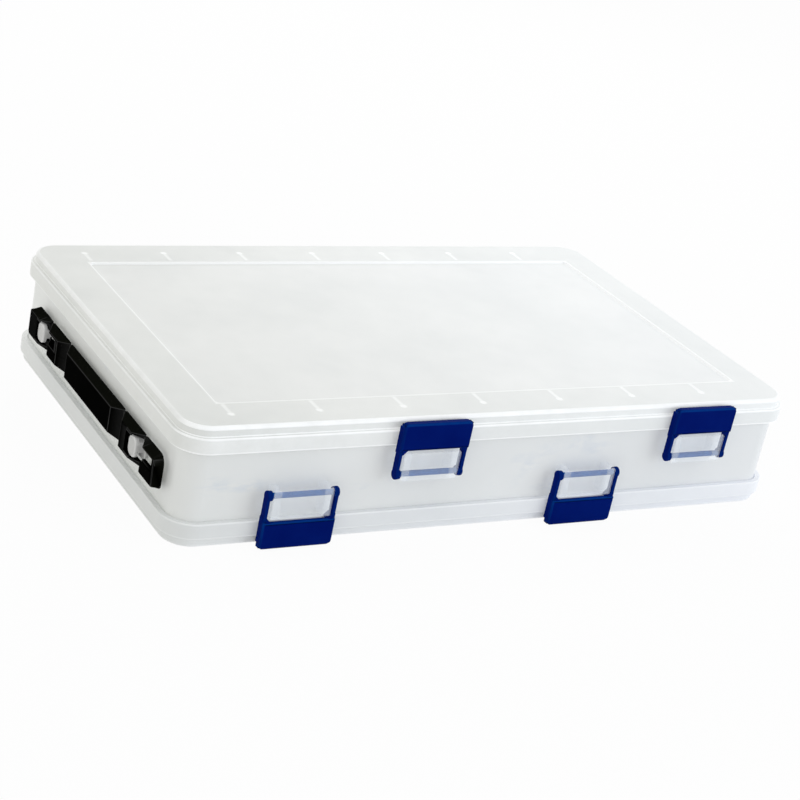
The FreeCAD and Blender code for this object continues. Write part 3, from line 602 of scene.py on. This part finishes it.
hingeSizes = {
    "y": 87.2, "drop": 10.8, "pin": 1.2, "lug": 2.2, "lugWide": 2.5, "clipHalf": 7.0,
    "gap": 0.3, "clip": 2.4, "bore": 1.26, "mouth": 1.0, "pinSunk": 0.5, "lugEdge": 0.25,
    "clipEdge": 0.2, "lugIn": 84.0, "lugOut": 85.0, "lugTop": 4.6, "lugLow": 10.0, "lugRise": 1.0,
    "footY": 81.7, "footTop": 0.2, "footLow": 7.0, "footOut": 1.6,
    "upper": (-40.0, 90.0), "lower": (-90.0, 40.0),
}


# Lug: from the lid's skirt down to a half circle round the pin.
def lugOutline(s):
    y, z, lug, top, inside = s["y"], -s["drop"], s["lug"], -s["lugTop"], s["lugIn"]
    return np.concatenate([
        [(inside, top), (inside, -s["lugLow"]), (y - lug, z)], arc((y, z), lug, 188, 352, 12),
        [(y + lug, z), (y + lug, z + s["lugRise"]), (s["lugOut"], top)]])


# A lid with its ribs, and at each clip two lugs with a pin from one to the other.
def makeLid(name, turned):
    s, h = lidSizes, hingeSizes
    shells = [lidShell(s)]
    middle, reach = shared["panelCentre"][1], shared["panelHalf"][1] + s["plate"] + s["ribSunk"]
    end, half = s["ribEnd"], s["ribWidth"] / 2
    for i in range(shared["ribCount"]):
        x = shared["ribFirst"] + shared["ribPitch"] * i
        for low, high in ((-end, middle - reach), (middle + reach - s["ribBack"], end)):
            shells.append(block((x - half, low, -s["ribLow"]), (x + half, high, -s["ribTop"]),
                                "x", s["ribSunk"]))
    inner, wide, edge = h["clipHalf"] + h["gap"], h["lugWide"], h["lugEdge"]
    reach = inner + h["pinSunk"]
    for x in h["upper"]:
        for start in (x - inner - wide, x + inner):
            shells.append(slab(lugOutline(h), "x", start, start + wide, edge))
        shells.append(rodShell((h["y"], -h["drop"]), h["pin"], "x", x - reach, x + reach))
    makePiece(name, shells, lidFrosted[turned], name, onSide(turned))


makeLid("lid_upper", False)
makeLid("lid_lower", True)
print("lids made")


caseSizes = {
    "outer": (132.4, 81.9), "outerCorner": 9.4, "inner": (130.6, 80.1), "innerCorner": 7.6,
    "low": 4.4, "high": 42.6, "plate": (22.6, 24.4), "plateSunk": 0.4, "plateEdge": 0.1,
    "rim": 0.45,
}


# Ring of walls: its section, a tall rectangle with rounded rims, carried round the case.
def makeWalls(s):
    thick = s["outer"][0] - s["inner"][0]
    low, high, rim = pick(s, "low high rim")
    section = np.concatenate([
        quarter((0, low + rim), (0, low), (rim, low), 4),
        quarter((thick - rim, low), (thick, low), (thick, low + rim), 4),
        quarter((thick, high - rim), (thick, high), (thick - rim, high), 4),
        quarter((rim, high), (0, high), (0, high - rim), 4)])
    rows = [setLoop(roundedLoop((0, 0), s["outer"], s["outerCorner"], away=-inset), "z", z)
            for inset, z in section]
    makePiece("case_walls", [shell(np.array(rows), True, False)], frosted, "case")


# Plate across the case: a rounded rectangle that reaches a little into the walls.
def makePlate(s):
    loop = roundedLoop((0, 0), s["inner"], s["innerCorner"], away=s["plateSunk"])
    makePiece("case_plate", [slab(loop, "z", *s["plate"], s["plateEdge"], 2)], frosted, "case")


dividerSizes = {"root": 0.8, "tip": 0.6, "high": 4.8, "foot": 22.6, "flare": 0.9, "end": 80.4,
                "tipRound": 0.5, "sunk": 0.3}


# Divider: a tapered wall with a round top and a flared foot, carried across the box.
def dividerOutline(s):
    root, tip, flare, tipRound = pick(s, "root tip flare tipRound")
    top, foot, low = -s["high"], -s["foot"], -s["foot"] - s["sunk"]
    right = np.concatenate([
        quarter((root + flare, foot), (root, foot), (root, foot + flare), 4),
        quarter((tip, top - tipRound), (tip, top), (tip - tipRound, top), 4)])
    return np.concatenate([right, right[::-1] * (-1, 1),
                           [(-root - flare, low), (root + flare, low)]])


# One divider, a whole number of pitches from the first.
def makeDivider(s, name, index, turned):
    outline = dividerOutline(s) + (shared["ribFirst"] + shared["ribPitch"] * index, 0)
    piece = slab(outline, "y", -s["end"], s["end"], thinEdge, 1)
    makePiece(name, [piece], frosted, "case", onSide(turned))


makeWalls(caseSizes)
makePlate(caseSizes)
for i in range(shared["ribCount"]):
    makeDivider(dividerSizes, "divider_upper_%d" % (i + 1), i, False)
    makeDivider(dividerSizes, "divider_lower_%d" % (i + 1), i, True)
print("case made")


latchSizes = {
    "half": 14.5, "face": 88.5, "back": 84.62, "skin": 1.6, "fold": 10.8, "ear": 12.4,
    "armIn": 13.0, "armOut": 14.2, "armSet": 0.6, "armTop": 1.2, "armArc": (139, 387),
    "armEdge": 0.25, "corner": 1.9, "foot": 0.5, "edge": 0.8, "bevel": (-0.9, 0.8),
    "backEdge": 0.15, "sideSet": 0.85, "sideTop": 1.9, "sideEdges": (0.15, 0.3),
    "lip": (2.2, 3.5), "lipSet": 0.9, "lipUp": 0.05, "lipEdges": (0.12, 0.15), "lipSunk": 0.3,
    "lipIn": 0.03, "step": 0.98, "rodY": 86.4, "rodDrop": 20.8, "rod": 1.1, "rodSunk": 0.4,
    "eye": 2.0, "boss": (1.9, 0.8), "earWide": 13.4, "earSlope": ((11.0, 11.4), 13.0),
    "earUp": 0.4, "earSet": 0.3, "earEdges": (0.2, 0.05), "paintedEdgeLight": 0.3, "restHighlightShare": 0.4,
    "highlightIn": 0.05, "upper": {"left": -36.7, "right": 87.0},
    "lower": {"left": -87.0, "right": 36.7},
}


# Latch plate: its front draws in along a quarter circle at the sides and a straight bevel
# at the tip. The edge that looks up gets a full painted highlight, as if lit from above; other
# edges a weaker one.
def latchPlate(s, turned):
    half, edge, corner, foot, face, backEdge = pick(s, "half edge corner foot face backEdge")
    fold, inner, hair = -s["fold"], s["skin"] - face, limits["hair"]
    outline = np.concatenate([
        arc((half - foot, fold + foot), foot, -90, 0, 4),
        arc((half - corner, -corner), corner, 0, 90, 8),
        arc((corner - half, -corner), corner, 90, 180, 8),
        arc((foot - half, fold + foot), foot, 180, 270, 4)])
    bevel = ramp(outline[:, 1], *s["bevel"])[:, None]
    rows = []
    for t in np.linspace(0, 1, 6):
        angle = t * np.pi / 2
        inset = edge * ((1 - np.sin(angle)) * (1 - bevel) + (1 - t) * bevel)
        into = edge * ((1 - np.cos(angle)) * (1 - bevel) + t * bevel)
        rows.append(setLoop(insetOutline(outline, inset), "y", into[:, 0] - face))
    for inset, y in ((0.0, inner - backEdge), (backEdge, inner)):
        rows.append(setLoop(insetOutline(outline, inset), "y", y))
    made = shell(np.array(rows))
    points, edgeLightAndMark = made[0], made[2]
    within = edge - s["highlightIn"]
    upward = points[:, 2] < fold + within if turned else points[:, 2] > -within
    upward &= (points[:, 1] < edge - face - hair) & (np.arange(len(points)) >= len(outline))
    edgeLightAndMark[:, 0] = np.where(upward, 1, edgeLightAndMark[:, 0] * s["paintedEdgeLight"])
    return made


# Arm: a thin strip that ends in a disc round the rod.
def armOutline(s):
    front, back = -s["face"] + s["armSet"], -s["back"]
    high = -s["ear"] + s["armTop"]
    disc = arc((-s["rodY"], -s["rodDrop"]), s["eye"], *s["armArc"], 22)
    return np.concatenate([[(front, high)], disc, [(back, high)]])


# A latch: its plate; to each side a wall, an arm, a boss round the rod and an ear; the
# hooking lip in two steps, all with weaker painted edge highlights; and the rod, which is marked
# for its own lighter blue.
def latchShells(s, turned):
    half, face, back, armIn, wide, step = pick(s, "half face back armIn earWide step")
    hair, rodAt, front = limits["hair"], (-s["rodY"], -s["rodDrop"]), s["sideSet"] - face
    top, low, earTop, fold = -s["sideTop"], -s["ear"], s["earUp"] - s["fold"], -s["fold"]
    wall = np.array([(front, top), (front, low), (-back, low), (-back, top)])
    (slopeTop, slopeMiddle), slopeLow = s["earSlope"]
    boss, bossWide = s["boss"]
    ear = np.array([(wide, earTop), (slopeTop, earTop), (slopeMiddle, fold), (slopeLow, low),
                    (wide, low)])
    shells = [latchPlate(s, turned)]
    for side in (-1, 1):
        shells.append(slab(wall, "x", *mirrored(side, armIn, half - hair), s["sideEdges"], 2))
        shells.append(slab(armOutline(s), "x", *mirrored(side, armIn, s["armOut"]), s["armEdge"]))
        start, stop = mirrored(side, armIn, armIn - bossWide)
        shells.append(rodShell(rodAt, boss, "x", start - hair, stop + hair))
        shells.append(slab(ear * (side, 1), "y", s["earSet"] - face, -back - hair,
                           s["earEdges"], 2))
    (lipTop, lipLow), front, (upperEdge, lowerEdge) = s["lip"], s["lipSet"] - face, s["lipEdges"]
    side = half - s["lipIn"]
    shells += [block((hair - half, front, -lipTop - s["lipSunk"]),
                     (half - hair, -back - step, -s["lipUp"]), "y", upperEdge, s["corner"]),
               block((-side, front, -lipLow), (side, -back, -lipTop), "x", lowerEdge)]
    # All but the plate get weaker painted edge highlights.
    for made in shells[1:]:
        made[2][:, 0] *= s["restHighlightShare"]
    reach = armIn + s["rodSunk"]
    rod = rodShell(rodAt, s["rod"], "x", -reach, reach, 0.1, 32)
    rod[2][:, 1] = 1
    return shells + [rod]


bracketSizes = {
    "half": 11.8, "web": 3.2, "skin": 0.9, "top": 12.0, "low": 23.1, "wall": 81.9,
    "bore": 1.16, "mouth": 0.95, "sunk": 0.2, "corner": 0.6, "edges": (0.35, 0.1),
    "webEdge": 0.15, "webSet": 0.05, "webSunk": 0.1,
}


# Web of a bracket: a plate with a C-shaped bore, open at the far end. The mouth's lips
# stand where the sine is mouth over bore.
def webOutline(s):
    y, z, bore, mouth = -latchSizes["rodY"], -latchSizes["rodDrop"], s["bore"], s["mouth"]
    top, low, wall = -s["top"], -s["low"], s["sunk"] - s["wall"]
    lip = math.degrees(math.asin(mouth / bore))
    front = s["skin"] - s["webSunk"] - latchSizes["face"]
    return np.concatenate([
        [(wall, top), (wall, low), (y + mouth, low)], arc((y, z), bore, lip - 90, 270 - lip, 20),
        [(y - mouth, low), (front, low), (front, top)]])


# A bracket: its front panel and a web at each side.
def bracketShells(s):
    half, face, top, low = s["half"], latchSizes["face"], s["top"], s["low"]
    panel = roundedLoop((0, -(top + low) / 2), (half, (low - top) / 2), s["corner"], 4)
    shells = [slab(panel, "y", -face, s["skin"] - face, s["edges"])]
    for side in (-1, 1):
        shells.append(slab(webOutline(s), "x", *mirrored(side, half - s["webSet"], half - s["web"]),
                           s["webEdge"], 2))
    return shells


for side, turned in (("upper", False), ("lower", True)):
    for end, x in latchSizes[side].items():
        name, place = "%s_%s" % (side, end), onSide(turned, x)
        makePiece("latch_" + name, latchShells(latchSizes, turned), blue, "latch_" + name, place)
        makePiece("bracket_" + name, bracketShells(bracketSizes), clear, "case", place)
print("latches and brackets made")


# Clip: a foot on the back wall that runs into a C round the pin. A lip stands where the
# sine is the mouth over the radius.
def clipOutline(s):
    y, z, clip, bore, foot = s["y"], -s["drop"], s["clip"], s["bore"], s["footY"]
    outerLip, innerLip = (math.degrees(math.asin(s["mouth"] / r)) for r in (clip, bore))
    return np.concatenate([
        [(foot, z + s["footTop"])], arc((y, z), clip, 175, outerLip, 14),
        arc((y, z), bore, innerLip, 360 - innerLip, 22), arc((y, z), clip, 360 - outerLip, 270, 8),
        [(y - s["footOut"], z - clip), (foot, z - s["footLow"])]])


for side, turned in (("upper", False), ("lower", True)):
    for end, x in zip(("left", "right"), hingeSizes[side]):
        half = hingeSizes["clipHalf"]
        clip = slab(clipOutline(hingeSizes), "x", -half, half, hingeSizes["clipEdge"], 2)
        makePiece("clip_%s_%s" % (side, end), [clip], clear, "case", onSide(turned, x))
print("hinge clips made")


handleSizes = {
    "wall": 134.2, "film": 134.9, "outer": 138.29, "half": 6.5, "middle": -4.95, "centre": 23.5,
    "outerHinge": 49.0, "innerHinge": 28.7, "end": 65.5, "notch": 5.5,
    "rounds": {True: (1.5, 4.0), False: (1.0, 3.5)}, "planRounds": (0.4, 0.3),
    "relief": 1.2, "corner": 1.1, "slope": 1.5, "flat": 0.3, "edge": 0.3, "head": 4.6,
    "slotLow": 0.3, "slotHigh": 4.3, "slotRun": 12.5, "windowRun": 9.8, "hook": 0.3,
    "cover": 57.6, "pocketEnd": 63.6, "flangeEnd": 64.0, "coverSkin": 0.5, "skinEdge": 0.1,
    "join": 0.3, "web": 1.3, "webRun": (50.0, 64.5), "neckSlot": 2.2, "bead": 0.4, "beadEnd": 0.6,
    "lip": 4.0, "lipSunk": 0.4, "solidSunk": 0.5, "edgeShare": 0.35, "bevel": 0.12,
    "bevelFrom": 40,
}


# Each corner gives way to an arc tangent to both sides: its ends stand back by the radius
# over the tangent of half the corner's angle.
def roundCorners(outline, radii, steps=4):
    outline = np.array(outline, float)
    if signedArea(outline) < 0:
        outline, radii = outline[::-1], list(radii)[::-1]
    result = []
    for i, radius in enumerate(radii):
        corner = outline[i]
        if radius <= 0:
            result.append(corner[None])
            continue
        back = outline[i - 1] - corner
        ahead = outline[(i + 1) % len(outline)] - corner
        back, ahead = back / np.linalg.norm(back), ahead / np.linalg.norm(ahead)
        half = math.acos(np.clip(back @ ahead, -1, 1)) / 2
        away = radius / math.tan(half)
        inward = (back + ahead) / np.linalg.norm(back + ahead)
        middle = corner + inward * radius / math.sin(half)
        start, stop = corner + back * away - middle, corner + ahead * away - middle
        turn = math.atan2(start[0] * stop[1] - start[1] * stop[0], start @ stop)
        angle = np.linspace(0, turn, steps + 1)[:, None]
        side = np.array([-start[1], start[0]])
        result.append(middle + start * np.cos(angle) + side * np.sin(angle))
    return np.concatenate(result)


# Fall of the strip's top and bottom faces: the slope times the share of the way outwards.
def fallAt(s, x):
    wall = s["wall"] + s["flat"]
    return s["slope"] * ramp(-x, wall, s["outer"] - wall)


# A length of the strip between two heights; its own top and bottom fall away outwards
# and are marked for a painted lighter tone, as if lit from above.
def stripPart(s, plan, low, high):
    points, faces, edgeLightAndMark = slab(plan, "z", low, high, s["edge"])
    points = points.copy()
    fall, hair = fallAt(s, points[:, 0]), limits["hair"]
    if high >= s["half"]:
        edgeLightAndMark[points[:, 2] > high - hair, 1] = 1
        points[:, 2] -= fall * ramp(points[:, 2], low, high - low)
    if low <= -s["half"]:
        edgeLightAndMark[points[:, 2] < low + hair, 1] = 1
        points[:, 2] += fall * ramp(-points[:, 2], -high, high - low)
    return points, faces, edgeLightAndMark


# Plan of an end of the strip: from its film hinge over half a V notch to the round end.
def endPlan(s):
    film, wall, outer, (hinge, end) = -s["film"], -s["wall"], -s["outer"], pick(s, "outerHinge end")
    return roundCorners([(film, hinge), (outer, hinge + s["notch"]), (outer, end), (wall, end),
                         (wall, hinge + s["relief"])], [0, s["corner"], *s["planRounds"], 0])


# Plan between two film hinges, with half a V notch at each and small reliefs behind.
def middlePlan(s, low, high):
    film, wall, outer, notch, relief = -s["film"], -s["wall"], -s["outer"], s["notch"], s["relief"]
    return roundCorners([(film, low), (outer, low + notch), (outer, high - notch), (film, high),
                         (wall, high - relief), (wall, low + relief)],
                        [0, s["corner"], s["corner"], 0, 0, 0])


# The part of a plan between two places: its points are held to that range.
def planBetween(plan, low, high):
    cut = np.clip(plan[:, 1], low, high)
    held = np.column_stack([plan[:, 0], cut])
    keep = np.linalg.norm(held - np.roll(held, 1, 0), axis=1) > 1e-6
    return held[keep]


# The strip stands by the end wall; its front half is turned half round about X.
def inHandle(s, turned):
    turn = -1 if turned else 1
    return lambda points: points * (1, turn, turn) + (0, s["middle"], s["centre"])


# Thin skin on the strip's outer face, over a run and between two heights.
def outerSkin(s, start, stop, low, high, edges=thinEdge):
    outer, inner = -s["outer"], s["coverSkin"] - s["outer"]
    plan = np.array([(outer, start), (outer, stop), (inner, stop), (inner, start)])
    return slab(plan, "z", low, high, edges, 1)


# Thin lips that draw a window's long sides in over the peg's head, on the outer face.
def windowLips(s, start, stop):
    far = s["head"] + s["lipSunk"]
    return [outerSkin(s, start, stop, *mirrored(side, s["lip"], far), s["skinEdge"])
            for side in (-1, 1)]


# A length of the strip's end, as a section carried along it. Above and below, the height
# falls by the radius minus the square root of radius squared minus distance squared.
def endPart(s, start, stop, low, high, rounds):
    plan, hair = endPlan(s), limits["hair"]
    half, end, hinge, relief, film, wall = pick(s, "half end outerHinge relief film wall")
    side = plan[plan[:, 0] < limits["hair"] - film]
    side = side[np.argsort(side[:, 1])]
    angle = np.linspace(0, np.pi / 2, 7)
    places = np.concatenate([side[:, 1], [start, stop, hinge + relief]]
                            + [end - radius + radius * np.sin(angle) for radius in rounds])
    places = np.unique(np.round(places[(places >= start) & (places <= stop)], 3))
    rows, marks = [], []
    for along in places:
        outX = np.interp(along, side[:, 1], side[:, 0])
        wallX = (film - wall) * min((along - hinge) / relief, 1) - film
        past = [min(max(along - (end - radius), 0), radius) for radius in rounds]
        top, bottom = (half - radius + math.sqrt(max(radius ** 2 - p ** 2, 0))
                       for radius, p in zip(rounds, past))
        fall = fallAt(s, outX)
        wallHigh, wallLow = min(high, top), max(low, -bottom)
        outHigh, outLow = min(high, half - fall, top), max(low, fall - half, -bottom)
        radius = min(s["edge"], s["edgeShare"] * min(wallX - outX, outHigh - outLow))
        corners = [(outX, outLow), (wallX, wallLow), (wallX, wallHigh), (outX, outHigh)]
        loop = roundCorners(corners, [radius] * 4, 3)
        share = (loop[:, 0] - wallX) / (outX - wallX)
        onTop = (loop[:, 1] > wallHigh + (outHigh - wallHigh) * share - hair) & (high >= half)
        onBottom = (loop[:, 1] < wallLow + (outLow - wallLow) * share + hair) & (low <= -half)
        rows.append(setLoop(loop, "y", along))
        marks.append(onTop | onBottom)
    made = shell(np.array(rows))
    # Top and bottom faces are marked for a painted lighter tone, as if lit from above.
    made[2][:, 1] = np.concatenate(marks)
    return made


# End of the strip: flanges, a web with the neck's slot, and a pocket for the peg's head
# between web and outer skin.
def endShells(s, wide):
    half, head, join, hinge, pocketEnd = pick(s, "half head join outerHinge pocketEnd")
    start, flangeEnd, rounds = hinge + join, s["flangeEnd"], s["rounds"][wide]
    notchEnd, past = hinge + s["notch"] - join, pocketEnd + join
    shells = [endPart(s, start, flangeEnd, head, half, rounds),
              endPart(s, start, flangeEnd, -half, -head, rounds),
              endPart(s, pocketEnd, s["end"], -half, half, rounds)]
    wall, web, (low, high) = -s["wall"], -s["wall"] - s["web"], s["webRun"]
    strip = np.array([(web, low), (web, high), (wall, high), (wall, low)])
    for side in (-1, 1) if wide else (1,):
        places = mirrored(side, s["neckSlot"], head + join)
        shells.append(slab(strip, "z", *places, s["skinEdge"], 1))
    if wide:
        shells += windowLips(s, notchEnd, s["cover"] + join)
        shells.append(outerSkin(s, s["cover"], past, -head - join, head + join))
    else:
        shells.append(outerSkin(s, notchEnd, past, s["hook"], head + join))
    return shells


# Link: two flanges, solid up to the window or slot, and beads at its film hinges.
def linkShells(s, wide):
    inner, outer, half, join, film = pick(s, "innerHinge outerHinge half join film")
    plan = middlePlan(s, inner, outer)
    high, low, run = (s["head"], -s["head"], s["windowRun"]) if wide else (
        s["slotHigh"], -s["slotLow"], s["slotRun"])
    shells = [stripPart(s, plan, high, half), stripPart(s, plan, -half, low)]
    solid = planBetween(plan, inner, outer - run)
    shells.append(slab(solid, "z", low - s["solidSunk"], high + join, thinEdge, 1))
    if wide:
        shells += windowLips(s, outer - run - join, outer - s["notch"] + join)
    far = half - s["beadEnd"]
    for y, top, bottom in ((inner, 0.0, 0.0), (outer, high, low)):
        for start, stop in ((top - join, far), (-far, bottom + join)):
            shells.append(rodShell((-film, y), s["bead"], "z", start, stop, 0.1, 16))
    return shells


# The handle's five pieces, the front two turned half round.
def makeHandle(s):
    half, inner = s["half"], s["innerHinge"]
    grip = [stripPart(s, middlePlan(s, -inner, inner), -half, half)]
    for name, shells, turned in (("end_back", endShells(s, True), False),
                                 ("link_back", linkShells(s, False), False),
                                 ("grip", grip, False), ("link_front", linkShells(s, True), True),
                                 ("end_front", endShells(s, False), True)):
        name = "handle_" + name
        made = makePiece(name, shells, black, name, inHandle(s, turned))
        bevel = made.modifiers.new("softEdges", "BEVEL")
        bevel.width, bevel.segments, bevel.limit_method = s["bevel"] * metre, 2, "ANGLE"
        bevel.angle_limit = math.radians(s["bevelFrom"])
        made.modifiers.move(1, 0)


pegSizes = {
    "seatFrom": 132.3, "seatTo": 133.9, "under": 135.9, "top": 137.6, "halfLong": 3.3,
    "halfHigh": 3.95, "corner": 2.7, "headEdges": (0.7, 0.2), "seat": 4.35, "seatCorner": 1.5,
    "seatEdges": (0.3, 0.05), "neck": 2.0, "neckCorner": 0.3, "neckSunk": 0.1, "place": 49.0,
}


# Pegs: a seat on the wall, a neck and a head, each a rounded rectangle carried along X.
def makePegs(s):
    under, seatTo, sunk, seat, neck = pick(s, "under seatTo neckSunk seat neck")
    for name, y in (("peg_back", s["place"]), ("peg_front", -s["place"])):
        centre = (y, handleSizes["centre"])
        seatLoop = roundedLoop(centre, (seat, seat), s["seatCorner"], 6)
        headLoop = roundedLoop(centre, (s["halfLong"], s["halfHigh"]), s["corner"], 8)
        neckLoop = roundedLoop(centre, (neck, neck), s["neckCorner"], 3)
        shells = [slab(seatLoop, "x", -seatTo, -s["seatFrom"], s["seatEdges"]),
                  slab(neckLoop, "x", -under - sunk, sunk - seatTo, thinEdge, 1),
                  slab(headLoop, "x", -s["top"], -under, s["headEdges"], 4)]
        # Pegs take the darker copy of the case's plastic: painted shade from the handle round them.
        makePiece(name, shells, shadedPegFrosted, "case")


makePegs(pegSizes)
makeHandle(handleSizes)
print("handle made")


# 1 for rays of the camera, of glossy reflections and of transmission, else 0.
def seenDirectly(tree):
    path = addNode(tree, "LightPath").outputs
    bounced = calc(tree, "MAXIMUM", path["Is Glossy Ray"], path["Is Transmission Ray"])
    return calc(tree, "MAXIMUM", path["Is Camera Ray"], bounced)


# Two shaders mixed by a factor into a tree's output.
def mixInto(tree, factor, first, second, output):
    mix = fillAll(tree, addNode(tree, "MixShader"),
                  {0: factor, 1: first.outputs[0], 2: second.outputs[0]})
    fillAll(tree, tree.nodes[output], {"Surface": mix.outputs[0]})


floorSizes = {"half": 12.0, "z": -0.0002, "lit": 0.95, "values": {
    "Base Color": (0.9, 0.9, 0.9, 1), "Roughness": 0.9, "Specular IOR Level": 0.0}}


# Pale floor, a square; where it is seen directly, most of it is plain white light.
def makeFloor(s):
    half, z = s["half"], s["z"]
    mesh = bpy.data.meshes.new("floor")
    mesh.from_pydata([(-half, -half, z), (half, -half, z), (half, half, z), (-half, half, z)],
                     [], [(0, 1, 2, 3)])
    material, tree, shader = newMaterial("paleFloor", s["values"])
    light = addNode(tree, "Emission", Color=(1, 1, 1, 1), Strength=1.0)
    mixInto(tree, calc(tree, "MULTIPLY", seenDirectly(tree), s["lit"]), shader, light,
            "Material Output")
    mesh.materials.append(material)
    addObject("floor", mesh)


makeFloor(floorSizes)

# Each lamp: place and target in metres, size in metres, colour and power in watts.
lightSizes = {
    "world": 0.70,
    "lamps": {
        "lampBack": ((0.35, 0.6, 0.55), (0.05, 0.05, 0), 0.8, (1.0, 1.0, 0.98), 1.4),
        "lampRight": ((0.9, -0.9, 0.45), (0.05, 0, 0), 1.4, (0.80, 0.90, 1.0), 5.2),
        "lampLeft": ((-1.0, 0.1, 0.2), (-0.1, 0, 0), 1.0, (1.0, 1.0, 0.70), 0.7),
    },
}


# A world that lights evenly and is white where it is seen, and round lamps.
def makeLights(s):
    world = bpy.data.worlds.new("studio")
    world.use_nodes = True
    tree = world.node_tree
    plain = fillAll(tree, tree.nodes["Background"],
                    {"Color": (1, 1, 1, 1), "Strength": s["world"]})
    white = addNode(tree, "Background", Color=(1, 1, 1, 1), Strength=1.0)
    mixInto(tree, seenDirectly(tree), plain, white, "World Output")
    bpy.context.scene.world = world
    for name, (place, target, size, colour, power) in s["lamps"].items():
        lamp = bpy.data.lights.new(name, "AREA")
        lamp.shape, lamp.size, lamp.energy, lamp.color = "DISK", size, power, colour
        holder = addObject(name, lamp)
        holder.location = place
        away = Vector(target) - Vector(place)
        holder.rotation_euler = away.to_track_quat("-Z", "Y").to_euler()


makeLights(lightSizes)

# Fitted to the lid's edges in the photo: place in metres, lens in millimetres and the
# camera's own axes.
cameraSizes = {
    "place": (-0.40161, -0.61095, 0.32594), "lens": 86.985, "sensor": 36.0, "clip": (0.01, 20.0),
    "right": (0.86126, -0.47044, 0.19212), "up": (0.03817, 0.43689, 0.8987),
    "forward": (0.50672, 0.76669, -0.39423),
}


# The camera looks along its forward axis; the three axes, made square, are its turn.
def makeCamera(s):
    camera = bpy.data.cameras.new("camera")
    camera.lens, camera.sensor_width = s["lens"], s["sensor"]
    camera.clip_start, camera.clip_end = s["clip"]
    holder = addObject("camera", camera)
    columns = [Vector(s["right"]), Vector(s["up"]), -Vector(s["forward"])]
    turn = Matrix(columns).transposed().to_quaternion().to_matrix()
    holder.matrix_world = Matrix.Translation(s["place"]) @ turn.to_4x4()
    bpy.context.scene.camera = holder


makeCamera(cameraSizes)
bpy.context.scene.view_settings.view_transform = "Standard"
print("stage made")
